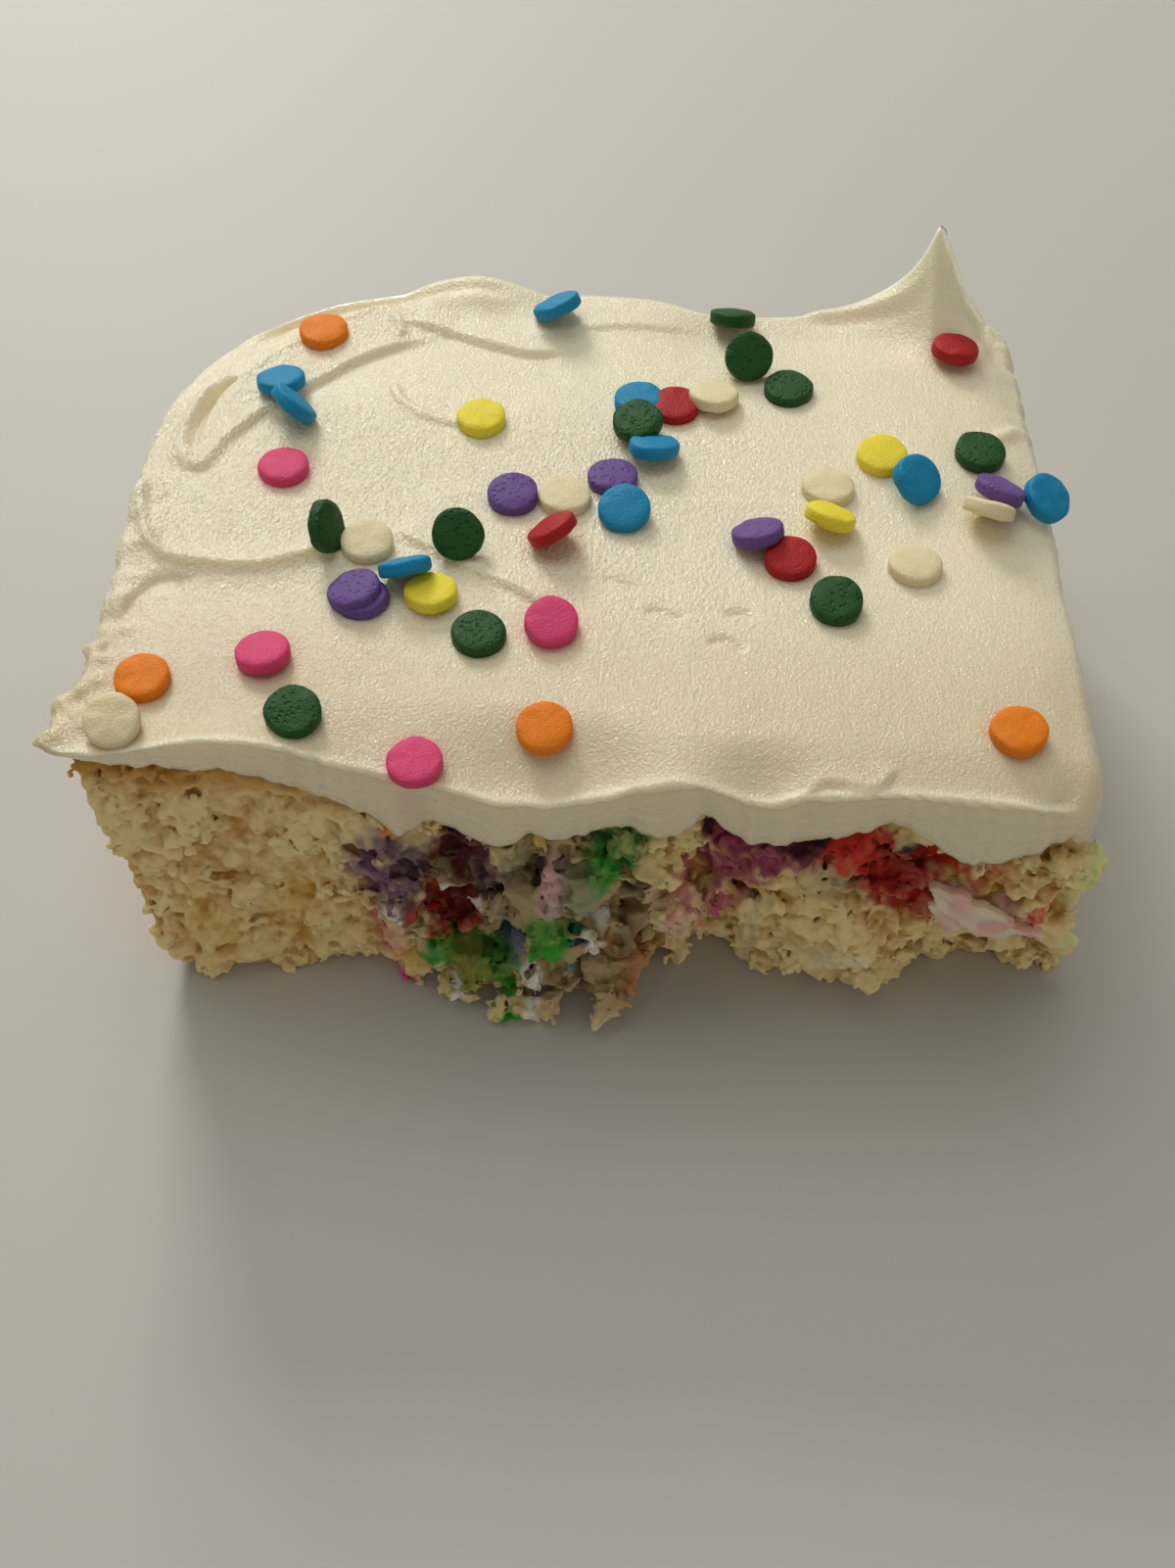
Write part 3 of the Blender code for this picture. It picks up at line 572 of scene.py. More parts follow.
ICING_TOP = 35.0
PAN_SHOULDER, RIGHT_SHOULDER, FRONT_RIGHT_SHOULDER = 1.0, 2.2, 3.2
CUT_CORNER_RADIUS, SOFT_CORNER_RADIUS = 2.5, 5.0
COLUMNS, ROWS, WALL_ROWS, UNDER_ROWS = 278, 204, 26, 7
FRONT_BROW = ((-46, 34.8), (-40, 34.6), (-33, 36.0), (-28, 35.8), (-20, 34.0), (-14, 33.8),
              (-5, 32.0), (2, 32.5), (9, 34.3), (16, 33.0), (22, 34.1), (32, 34.1), (46, 33.5))
BROW_REACH = ((-46, 6.0), (-30, 6.5), (-16, 9.0), (2, 8.0), (12, 6.0), (46, 6.0))
RIGHT_EDGE = ((-33, 1.2), (-24, 1.1), (-18, 0.9), (-12, 0.6), (-6, 0.1), (2, 0.1), (8, -0.3),
              (14, -0.9), (21, -1.3), (26, -1.6), (33, -1.9))
# How far the left edge stands out, from front to back, and the back edge, from left to right.
# What stands out there is a tongue as thin as this
LEFT_EDGE = ((-33, 1.6), (-31.4, 1.8), (-30.3, 2.6), (-29.4, 1.5), (-27.2, 1.5), (-25.6, 1.8),
             (-24.6, 0.6), (-22.5, 0.0), (-20.6, 0.1), (-19.2, 0.6), (-18.2, -0.5), (-17.2, -1.0),
             (-13, -0.8), (-6, -0.3), (-4, 0.3), (-2, -0.2), (3, -0.1), (12, 0.0), (33, 0.0))
TONGUE_THICKNESS = 0.9
BACK_EDGE = ((-30, 0.0), (-22, 0.1), (-19, 0.9), (-14, 1.0), (-9, 0.5), (-6, 0.0), (-3, 0.4),
             (5, 0.0), (10, -1.3), (19, -1.2), (26, 0.0), (34, 0.5), (40, -0.4), (46, -1.0))
# The flat band of a stroke round the back left: its middle line, and half its width along it
BAND = ((-39.4, 5.4), (-38.6, 9.6), (-36.2, 14.4), (-32.6, 18.8), (-28.4, 23.0), (-24.0, 26.0),
        (-20.0, 28.0))
BAND_HALF_WIDTH = ((0, 1.6), (0.2, 2.6), (0.5, 3.5), (0.8, 3.6), (1, 3.8))
BAND_HEIGHT, BAND_LIP, BAND_LIP_WIDTH = 0.55, 0.2, 0.4
# Steps that are high on the left of their path and fade away from it: path, reach, height, and
# the share of the path over which each end fades. Each rises over STEP_FACE
STEP_FACE = 0.7
STEPS = (
    (((-24.0, 27.6), (-20.0, 26.8), (-16.0, 25.4), (-12.0, 24.0), (-8.0, 22.9), (-5.6, 23.2),
      (-2.6, 24.6)), 4.5, 0.75, 0.24),
    (((-9.0, 24.5), (-5.0, 26.6), (1.0, 28.0), (10.0, 28.2)), 3.5, 0.4, 0.2),
    (((-19.8, -3.2), (-16.0, -5.6), (-13.0, -7.6), (-9.0, -9.8), (-6.0, -11.6), (-3.0, -14.0)),
     3.5, 0.7, 0.14),
    (((-36.0, -10.2), (-40.5, -10.6), (-42.6, -14.0), (-43.4, -18.0), (-43.6, -21.0)),
     2.5, -0.6, 0.14),
    (((27.0, 10.4), (21.0, 11.3), (8.0, 11.4), (-6.0, 12.0), (-16.0, 12.3)), 2.5, 0.16, 0.2),
    (((26.0, 2.3), (8.0, 2.4), (-8.0, 2.6), (-14.0, 2.3), (-18.0, 1.2), (-20.5, -0.2),
      (-24.0, -1.0)), 3.0, 0.26, 0.2),
    (((34.0, 23.6), (18.0, 22.3), (8.0, 22.0), (-3.0, 22.0)), 2.5, 0.2, 0.2),
    (((17.5, -33.6), (19.5, -32.4), (21.2, -31.2), (25.5, -31.6), (27.6, -29.4)), 2.0, 0.5, 0.1),
)
# Lips and faint lines that the knife's edge left: path, width, height. The longest lip is a
# narrow crest on a wide swell
LONG_LIP = ((-44.2, 4.0), (-43.4, -1.5), (-42.0, -6.0), (-40.2, -8.0), (-37.0, -8.8),
            (-31.0, -9.0), (-27.4, -7.8), (-24.6, -6.8), (-22.0, -8.0))
LIPS = (
    (LONG_LIP, 0.45, 0.85), (LONG_LIP, 2.2, 0.45),
    (((-40.1, 6.0), (-40.4, 10.1), (-39.8, 13.4), (-39.0, 16.0), (-37.4, 18.6)), 0.6, -1.3),
    (((-40.0, 4.4), (-41.2, 5.6), (-41.5, 9.0), (-41.1, 12.6), (-40.4, 15.4), (-39.2, 17.8)), 0.6, 0.6),
    (((-36.6, 23.0), (-34.0, 26.2), (-29.0, 29.3), (-23.0, 31.2), (-15.0, 32.0), (-9.0, 31.6)), 0.8, -0.7),
    (((-21.4, 24.6), (-21.8, 26.6), (-23.0, 28.6)), 0.5, 0.55),
    (((-21.6, 18.2), (-20.8, 15.8), (-19.0, 14.0), (-16.2, 12.6), (-13.0, 12.0)), 0.45, 0.5),
    (((1.0, -8.8), (3.2, -9.4), (4.6, -10.6)), 0.38, -0.4),
    (((5.0, -12.6), (6.8, -12.9), (8.8, -13.6)), 0.38, -0.4),
    (((12.4, -13.0), (13.8, -12.6), (15.2, -13.0)), 0.38, -0.4),
    (((10.8, -16.4), (12.4, -16.0), (14.4, -17.4)), 0.4, -0.42),
    (((42.0, 15.4), (40.6, 13.8), (38.8, 12.2)), 0.7, 0.6),
)
CURL_FOOT_X, CURL_TIP_X, CURL_END_X = 19.5, 33.5, 39.5
CURL_HEIGHT, CURL_REACH, SPIRE_SHARE = 9.6, 10.0, 0.42
# The curl's rolled back edge and the valley inside it: height, distance from the back, width
CURL_ROLL, CURL_VALLEY = (0.5, 0.9, 0.6), (-0.15, 2.3, 0.6)
LOBE_X, LOBE_HALF_WIDTH, LOBE_HEIGHT, LOBE_REACH = -14.0, 8.5, 1.9, 2.6
TROUGH_DEPTH, TROUGH_Y, TROUGH_WIDTH = 0.7, 27.5, 3.6
SWELL_RELIEF, STROKE_RELIEF, FINE_RELIEF, RAGGED = 0.28, 0.05, 0.016, 0.35
FRONT_LIP, FRONT_LIP_WIDTH = 0.2, 0.4
# The icing's front face: how far its upper edge wanders in long and short waves, how far the
# knife's lip stands out and how far down the face it is, how deep the marks of the knife's drag
# are, long and short, and how far the face is cut back at its foot
EDGE_WANDER, FACE_LIP, FACE_LIP_DOWN = (0.28, 0.16), 0.3, 0.06
DRAG_MARKS, UNDERCUT = (0.04, 0.05), 0.35
# Off the front, the icing hangs this far over the sponge, more or less by its long and short
# waves, and the waves of the lower edge on the front are these
HANGS_OVER, HEM_WAVES, FRONT_HEM_WAVES = 0.4, (0.5, 0.3), (0.4, 0.26)


PATH_RUNS = 48


def path_distance(path, x, y):
    """Distance from the smooth path through the given points, positive on its left, and how
    far along it the nearest place is, from 0 to 1. The path is taken as PATH_RUNS short runs."""
    knots = np.array(path, float)
    share = np.append(0, np.cumsum(np.hypot(*np.diff(knots, axis=0).T)))
    share /= share[-1]
    fine = np.linspace(0, 1, PATH_RUNS + 1)
    curve = np.stack([along(np.stack([share, knots[:, axis]], 1), fine) for axis in (0, 1)], 1)
    best, side, place = np.full(x.shape, 1e9), np.ones(x.shape), np.zeros(x.shape)
    for n, (start, run) in enumerate(zip(curve[:-1], np.diff(curve, axis=0))):
        t = np.clip(((x - start[0]) * run[0] + (y - start[1]) * run[1]) / (run @ run), 0, 1)
        off_x, off_y = x - start[0] - t * run[0], y - start[1] - t * run[1]
        away = np.hypot(off_x, off_y)
        closer = away < best
        best = np.where(closer, away, best)
        side = np.where(closer, np.where(run[0] * off_y - run[1] * off_x < 0, -1, 1), side)
        place = np.where(closer, (n + t) / PATH_RUNS, place)
    return best * side, place


def tapered(place, ends=0.14):
    """1 along a path, falling to 0 at both of its ends."""
    return ease(place / ends) * ease((1 - place) / ends)


def icing_height(x, y):
    """Height of the icing's top. The level coat bends to the height of the front cut, then
    come the band, the steps, the lips, the lobe and the curl, each a smooth function of the
    distance from its path, and the faint ripples of the strokes."""
    from_front = y + DEPTH / 2
    reach = along(BROW_REACH, x)
    height = ICING_TOP + (along(FRONT_BROW, x) - ICING_TOP) * (1 - ease(from_front / reach))
    distance, place = path_distance(BAND, x, y)
    past = np.abs(distance) - along(BAND_HALF_WIDTH, place)
    fade = ease((1.06 - place) / 0.2)
    lip = BAND_LIP * bell(past + 0.5, BAND_LIP_WIDTH)
    height += (BAND_HEIGHT * (1 - ease((past + 0.5) / 1.0)) + lip) * fade
    for path, reach, rise, ends in STEPS:
        distance, place = path_distance(path, x, y)
        step = rise * tapered(place, ends) * ease(0.5 + distance / STEP_FACE)
        height += step * np.exp(-np.maximum(distance, 0) / reach)
    for path, width, rise in LIPS:
        distance, place = path_distance(path, x, y)
        height += rise * tapered(place) * bell(distance, width)
    height -= TROUGH_DEPTH * ease((x - 2) / 10) * bell(y - TROUGH_Y, TROUGH_WIDTH) * ease((36 - x) / 6)
    from_back = DEPTH / 2 - y
    across = 1 - ease(np.abs(x - LOBE_X) / LOBE_HALF_WIDTH)
    height += LOBE_HEIGHT * across * bell(from_back, LOBE_REACH)
    climb = np.clip((x - CURL_FOOT_X) / (CURL_TIP_X - CURL_FOOT_X), 0, 1)
    rising = (1 - SPIRE_SHARE) * climb**2.2 + SPIRE_SHARE * climb**12
    falling = np.clip((CURL_END_X - x) / (CURL_END_X - CURL_TIP_X), 0, 1) ** 1.3
    into = np.clip(1 - from_back / CURL_REACH, 0, 1.05)
    height += CURL_HEIGHT * rising * falling * into**2.2
    rolled = ease(climb * 4) * ease((CURL_TIP_X - x) / 2)
    height += rolled * sum(rise * bell(from_back - middle, width)
                           for rise, middle, width in (CURL_ROLL, CURL_VALLEY))
    spot = np.stack([x, y, 0 * x], 1)
    stroked = spot * (1, 0.6, 1)
    height += (SWELL_RELIEF * soft_noise(spot * (0.6, 1, 1), 11, 0)
               + STROKE_RELIEF * soft_noise(stroked, 3.2, 1))
    height += FINE_RELIEF * soft_noise(stroked, 0.8, 2)
    lip_spot = np.stack([x, 0 * y, 0 * y], 1)
    edge = y + DEPTH / 2 - along(FRONT_WAVE, x)
    lip = FRONT_LIP * (0.6 + 0.7 * soft_noise(lip_spot, 3.7, 0))
    height += lip * bell(edge, FRONT_LIP_WIDTH)
    near_left = ease((-39.5 - x) / 3) * ease((8 - y) / 8)
    near_right = ease((x - 35) / 4) * ease((y - 20) / 8)
    height += RAGGED * (near_left + near_right) * soft_noise(spot, 1.3, 3)
    return height


def rounded_corner(x, y, corner_x, corner_y, radius):
    """Draws the square corner of a grid in to a quarter circle: with a and b the shares of
    the radius left to the corner's two sides, a' = a sqrt(1 - b^2/2), b' = b sqrt(1 - a^2/2)."""
    inward_x, inward_y = -np.sign(corner_x), -np.sign(corner_y)
    a = 1 - (x - corner_x) * inward_x / radius
    b = 1 - (y - corner_y) * inward_y / radius
    inside = (a > 0) & (b > 0)
    a, b = np.clip(a, 0, 1), np.clip(b, 0, 1)
    round_x = corner_x + inward_x * radius * (1 - a * np.sqrt(1 - b * b / 2))
    round_y = corner_y + inward_y * radius * (1 - b * np.sqrt(1 - a * a / 2))
    return np.where(inside, round_x, x), np.where(inside, round_y, y)


def icing_plan(u, v, left, right, back):
    """The icing from above, over a grid whose u runs left to right and v front to back."""
    x, y = left + (right - left) * u, -DEPTH / 2 + (back + DEPTH / 2) * v
    x, y = rounded_corner(x, y, left, back, PAN_CORNER_RADIUS)
    x, y = rounded_corner(x, y, right, -DEPTH / 2, SOFT_CORNER_RADIUS)
    for corner_x, corner_y in ((left, -DEPTH / 2), (right, back)):
        x, y = rounded_corner(x, y, corner_x, corner_y, CUT_CORNER_RADIUS)
    y += along(FRONT_WAVE, x) * (1 - v) ** 5
    y += along(BACK_EDGE, x) * v**16
    x += along(RIGHT_EDGE, y) * u**12
    x += 0.3 * soft_noise(np.stack([0 * x, y, 0 * y], 1), 1.7, 1) * u**40 * ease((y - 10) / 8)
    # The knife left a thin uneven lip along the top of the front cut
    spot = np.stack([x, 0 * y, 0 * y], 1)
    wander = EDGE_WANDER[0] * soft_noise(spot, 2.3, 2) + EDGE_WANDER[1] * soft_noise(spot, 0.8, 3)
    y -= wander * (1 - v) ** 40
    return x, y


shares = np.meshgrid(np.linspace(0, 1, COLUMNS), np.linspace(0, 1, ROWS), indexing="ij")
u, v = (axis.ravel() for axis in shares)
full_x, full_y = icing_plan(u, v, -LENGTH / 2, LENGTH / 2, DEPTH / 2)
top_x, top_y = icing_plan(u, v, -LENGTH / 2 + PAN_SHOULDER, LENGTH / 2 - RIGHT_SHOULDER, DEPTH / 2)
top_x -= along(LEFT_EDGE, top_y) * (1 - u) ** 14
top_x -= (FRONT_RIGHT_SHOULDER - RIGHT_SHOULDER) * ease((-12 - top_y) / 14) * u**12
tongue = np.maximum(along(LEFT_EDGE, full_y) * (1 - u) ** 14, 0)
full_x -= tongue
top_z = icing_height(top_x, top_y) - 1.2 * u**30
top = np.stack([top_x, top_y, top_z], 1)

# The rim runs round the top from the front left corner, along the front cut first
order = np.arange(COLUMNS * ROWS).reshape(COLUMNS, ROWS)
rim = np.concatenate([order[:-1, 0], order[-1, :-1], order[:0:-1, -1], order[0, :0:-1]])
rim_full = np.stack([full_x[rim], full_y[rim]], 1)
ahead = np.roll(rim_full, -3, axis=0) - np.roll(rim_full, 3, axis=0)
outward = np.stack([ahead[:, 1], -ahead[:, 0]], 1) / np.hypot(*ahead.T)[:, None]
at_front = ease((-outward[:, 1] - 0.55) / 0.3)
at_right = ease((outward[:, 0] - 0.55) / 0.3)
around = np.stack([rim_full[:, 0], rim_full[:, 1], 0 * rim], 1)
lower = sponge_top(rim_full[:, 0]) - HANGS_OVER
lower = lower + HEM_WAVES[0] * soft_noise(around, 2.5, 0) + HEM_WAVES[1] * soft_noise(around, 0.9, 1)
cut_lower = along(LOWER_EDGE, rim_full[:, 0]) + FRONT_HEM_WAVES[0] * soft_noise(around, 1.3, 2)
cut_lower += FRONT_HEM_WAVES[1] * soft_noise(around, 0.6, 3)
# Where the cut ends at the right the icing is frayed
cut_lower += ease((rim_full[:, 0] - 39) / 3) * (0.5 + 0.9 * soft_noise(around, 0.8, 1))
lower += (cut_lower - lower) * at_front
lower += (0.8 + 0.7 * soft_noise(around, 1.1, 3)) * at_right * ease((-20 - rim_full[:, 1]) / 6)

rings = []
for row in range(1, WALL_ROWS + 1):
    down = (row / WALL_ROWS) ** 1.15
    # The shoulder turns down as 1 - sqrt(1 - w^4), with w the share of the height
    shoulder = 1 - math.sqrt(max(0, 1 - (1 - down) ** 4))
    flat = rim_full + (top[rim, :2] - rim_full) * shoulder
    spot = np.stack([rim_full[:, 0], rim_full[:, 1], np.full(len(rim), 9.0 * down)], 1)
    lip = FACE_LIP * bell(down - FACE_LIP_DOWN, FACE_LIP_DOWN) * at_front
    drag = DRAG_MARKS[0] * soft_noise(spot * (0.25, 0.25, 1), 0.8, 0)
    drag += DRAG_MARKS[1] * soft_noise(spot, 0.7, 1)
    ragged = RAGGED * (soft_noise(spot, 1.8, 2) + 0.5 * soft_noise(spot, 0.7, 3)) * (1 - 0.6 * at_right)
    out = lip + drag * at_front + ragged * (1 - at_front) * math.sin(math.pi * min(1, down + 0.1))
    out -= UNDERCUT * down**6 * at_front
    flat = flat + outward * out[:, None]
    drop = (top_z[rim] - lower) * down
    flat[:, 0] += tongue[rim] * ease((drop - TONGUE_THICKNESS) / 0.8)
    rings.append(np.column_stack([flat, top_z[rim] + (lower - top_z[rim]) * down]))
# The underside runs in from the foot of the wall to one point in the middle
foot = rings[-1]
for row in range(1, UNDER_ROWS):
    inward = (row / UNDER_ROWS) ** 1.6
    flat = foot[:, :2] * (1 - inward)
    level = sponge_top(flat[:, 0]) + 0.1
    rings.append(np.column_stack([flat, foot[:, 2] + (level - foot[:, 2]) * min(1, row / 3)]))
pole = np.array([[0, 0, float(sponge_top(np.zeros(1))[0]) + 0.1]])

points = np.concatenate([top, *rings, pole])
ring_of = [rim] + [len(top) + n * len(rim) + np.arange(len(rim)) for n in range(len(rings))]
quads = [np.stack([order[:-1, :-1], order[1:, :-1], order[1:, 1:], order[:-1, 1:]], -1).reshape(-1, 4)]
for upper, under in zip(ring_of[:-1], ring_of[1:]):
    quads.append(np.stack([upper, under, np.roll(under, -1), np.roll(upper, -1)], 1))
last = ring_of[-1]
fan = np.stack([last, np.full(len(last), len(points) - 1), np.roll(last, -1)], 1)

# Whipped buttercream: fine fat and sugar crystals, smoothed by steel. Light goes a millimetre
# or two in, and the grain and the ripples that the knife left glint on its satin surface,
# most where it was spread last.
CREAM_COLOUR, SMEAR_COLOUR = "F4E9C9", "F2BCB4"
SUGAR_GRAIN_MM, GRAIN_DEPTH_MM = 0.26, 0.16
RIPPLE_MM, RIPPLE_DEPTH_MM = 0.36, 0.28


def buttercream(name):
    """Buttercream that takes its colour from the attribute "cream_with_dyes_shade_and_glow", and from "spread" how
    rippled a place is."""
    material = new_material(name)
    coordinates = add_node(material, "TexCoord").outputs["Object"]
    spread = add_node(material, "Attribute", attribute_name="spread").outputs["Fac"]
    tinted = add_node(material, "Attribute", attribute_name="cream_with_dyes_shade_and_glow").outputs["Color"]
    along_stroke = add_node(material, "Mapping", {"Vector": coordinates, "Scale": (1.0, 0.6, 1.0)})
    ripples = add_node(material, "TexNoise", {
        "Vector": along_stroke.outputs["Vector"], "Scale": 1 / (RIPPLE_MM * MM), "Detail": 1.0,
        "Roughness": 0.5})
    grains = add_node(material, "TexNoise", {
        "Vector": coordinates, "Scale": 1 / (SUGAR_GRAIN_MM * MM), "Detail": 2.0, "Roughness": 0.6})
    ripple_bump = add_node(material, "Bump", {
        "Height": ripples.outputs["Fac"], "Strength": spread, "Distance": RIPPLE_DEPTH_MM * MM})
    grain_bump = add_node(material, "Bump", {
        "Height": grains.outputs["Fac"], "Strength": 1.0, "Distance": GRAIN_DEPTH_MM * MM,
        "Normal": ripple_bump.outputs["Normal"]})
    cream = add_node(material, "BsdfPrincipled", {
        "Base Color": tinted, "Roughness": 0.22, "IOR": 1.46, "Specular IOR Level": 0.75,
        "Normal": grain_bump.outputs["Normal"], "Subsurface Weight": 0.5,
        "Subsurface Radius": (1.0, 0.8, 0.5), "Subsurface Scale": 1.6 * MM})
    add_node(material, "OutputMaterial", {"Surface": cream.outputs["BSDF"]})
    return material


cream_material = buttercream("whipped buttercream")
icing = new_piece("icing_spread", points, [np.concatenate(quads), fan], cream_material)
icing_points = points
x, y, z = points.T
rippled = ease((28 - x) / 30) * ease((17 - y) / 6) * ease((y + 20) / 12)
distance, _ = path_distance(BAND, x, y)
rippled = np.maximum(rippled, ease((4.5 - np.abs(distance)) / 1.5))
rippled *= ease((z - 33.5) / 1.0)
layer = icing.data.attributes.new("spread", "FLOAT", "POINT")
layer.data.foreach_set("value", (0.3 + 0.7 * rippled).astype(np.float32))
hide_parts("icing")

# The knife also dragged a thin smear of icing, pink with dye, down over the torn crumb at the
# right: its middle line in x and z, its half width along it, and its thickness
SMEAR = ((33.0, 17.8), (35.2, 16.2), (37.6, 14.6), (40.4, 12.6), (44.0, 10.8))
SMEAR_HALF_WIDTH = ((0, 0.8), (0.15, 1.9), (0.4, 1.7), (0.7, 0.9), (1, 0.3))
SMEAR_THICKNESS, SMEAR_STANDS_OUT = 0.5, 0.9


def smear_field(p):
    """Negative in the smear: within its thickness of a smooth surface just clear of the crumb,
    streaked along its length, and within its wandering half width of its middle line."""
    x, y, z = p.T
    distance, place = path_distance(SMEAR, x.astype(float), z.astype(float))
    streaks = np.stack([6 * place, distance, 0 * place], 1)
    outline = np.abs(distance) - along(SMEAR_HALF_WIDTH, place) + 0.6 * soft_noise(streaks, 0.8, 1)
    depth = sponge_sides(x, y, z)[1] - SMEAR_STANDS_OUT + 0.3 * soft_noise(streaks, 0.7, 2)
    return np.maximum(np.abs(depth) - SMEAR_THICKNESS, outline)


points, faces = net_of(smear_field, (30, -38, 7), (47, -24, 22), 0.2)
smear = new_piece("icing_smear", points, faces, cream_material)
pinkness = ease(0.5 + 0.9 * soft_noise(points.astype(np.float32), 1.6, 2))
paint(smear, "cream_with_dyes_shade_and_glow", stained(linear(CREAM_COLOUR), pinkness, SMEAR_COLOUR))

# The sprinkles: sugar paste rolled thin, dyed, and stamped into discs 4.8 mm across, whose
# rims are soft and whose faces are pitted. They fell on the icing and sank in a little.

DISC_DIAMETER, DISC_THICKNESS, DISC_SINK = 4.95, 1.5, 0.4
DISC_SIDES, DISC_RINGS = 44, 18
RIM_SQUARENESS, FACE_DOME, FACE_DENTS = 5.5, 0.08, 0.1
# Each colour's hex value and how pitted it is, then each disc: x, y, and for one that leans
# its tilt in degrees, the compass direction its face leans to (0 is +X, 90 is +Y), and its lift
SPRINKLES = {
    "orange": ("EE8208", 0.12, ((-38.9, -23.5, 4, 270), (-3.1, -27.0, 10, 270),
                                (37.8, -25.7, 3, 270), (-29.6, 24.7))),
    "pink": ("DE4474", 0.15, ((-28.7, -20.2, 8, 120), (-14.0, -31.0, 2, 270, -0.15),
                              (-3.2, -15.5, 14, 290), (-30.6, 4.2))),
    "red": ("AC161A", 0.25, ((-3.8, -4.6, 38, 143), (7.3, 15.4), (18.5, -6.1, 5, 270),
                             (35.9, 24.8, 12, 60))),
    "yellow": ("F0DC3A", 0.1, ((-14.4, -12.3, 8, 95), (-12.0, 12.5, 3, 120), (27.7, 8.6, 4, 270),
                               (22.3, -1.1, 30, 60))),
    "green": ("1B5018", 1.0, ((-24.9, -27.1, 10, 270), (-9.7, -16.8, 3, 270), (-24.8, -5.8, 70, 348),
                              (-12.5, -6.0, 42, 275), (3.6, 11.5, 8, 240, 0.9), (18.7, 18.6),
                              (14.6, 21.7, 45, 275), (13.0, 29.2, 30, 85), (22.5, -11.6, 14, 270),
                              (37.3, 9.6, 4, 300))),
    "blue": ("0C88B4", 0.12, ((-17.0, -10.2, 42, 108), (2.8, -0.7, 17, 265), (5.4, 8.1, 24, 85), (3.6, 16.1),
                             (-32.6, 16.1, 14, 100), (-30.6, 11.9, 52, 36), (-5.4, 28.8, 32, 140),
                             (30.7, 4.4, 34, 325), (43.2, 3.6, 30, 330, -0.9))),
    "purple": ("6A4C8E", 0.75, ((-21.4, -12.6, 13, 160), (-20.7, -13.0, 12, 150, -0.7), (-8.0, 1.3, 5, 270),
                               (1.5, 4.3, 5, 95), (15.5, -3.5, 26, 122), (38.6, 3.4, 30, 50, 0.1))),
    "white": ("E8DAAE", 0.05, ((-40.3, -29.0, 20, 275), (-21.2, -5.8, 6, 300), (-3.0, 1.3),
                               (11.1, 16.5, 12, 90), (22.3, 4.0), (30.1, -6.1),
                               (37.3, 0.5, 44, 70))),
}


def sugar_disc(seed):
    """One disc, lying on the XY plane round the origin. Its profile is the curve
    |r/R|^n + |z/H|^n = 1, turned round Z; its outline wanders and its faces are dented by
    noise. The first and last points are the middles of its faces."""
    slant = np.linspace(math.pi / 2, -math.pi / 2, DISC_RINGS + 2)[1:-1]
    turn = np.linspace(0, 2 * math.pi, DISC_SIDES, endpoint=False)
    power = 2 / RIM_SQUARENESS
    reach = np.cos(slant) ** power
    level = np.sign(np.sin(slant)) * np.abs(np.sin(slant)) ** power
    around = np.stack([np.cos(turn), np.sin(turn), np.full(DISC_SIDES, 0.37 * seed)], 1)
    outline = 1 + 0.045 * soft_noise(around, 0.9, 0) + 0.012 * soft_noise(around, 0.25, 1)
    radius = DISC_DIAMETER / 2 * reach[:, None] * outline
    x, y = radius * np.cos(turn), radius * np.sin(turn)
    z = (DISC_THICKNESS / 2 + FACE_DOME * (1 - reach[:, None] ** 2)) * level[:, None] + 0 * x
    body = np.stack([x, y, z], -1).reshape(-1, 3)
    half = DISC_THICKNESS / 2 + FACE_DOME
    disc = np.concatenate([[[0, 0, half]], body, [[0, 0, -half]]])
    disc[:, 2] += FACE_DENTS * soft_noise(disc + seed * 3.1, 0.9, 2) * np.sign(disc[:, 2])
    return disc


def disc_faces():
    """Quads between the rings of a disc, and a fan of triangles round each face's middle."""
    ring = 1 + np.arange(DISC_RINGS * DISC_SIDES).reshape(DISC_RINGS, DISC_SIDES)
    after = np.roll(ring, -1, axis=1)
    quads = np.stack([ring[:-1], ring[1:], after[1:], after[:-1]], -1).reshape(-1, 4)
    top_fan = np.stack([np.zeros(DISC_SIDES, int), ring[0], after[0]], 1)
    low_fan = np.stack([np.full(DISC_SIDES, DISC_RINGS * DISC_SIDES + 1), after[-1], ring[-1]], 1)
    return quads, np.concatenate([top_fan, low_fan])


def disc_place(x, y, tilt=0.0, towards=0.0, lift=0.0):
    """The turn and the middle of a disc that rests on the icing by its lowest edge."""
    tilt, towards = math.radians(tilt), math.radians(towards)
    above = DISC_DIAMETER / 2 * math.sin(tilt) + DISC_THICKNESS / 2 * math.cos(tilt) - DISC_SINK + lift
    lean = Matrix.Rotation(tilt, 3, Vector((-math.sin(towards), math.cos(towards), 0)))
    height = float(icing_height(np.array([x]), np.array([y]))[0])
    return np.array(lean), np.array([x, y, height + above])


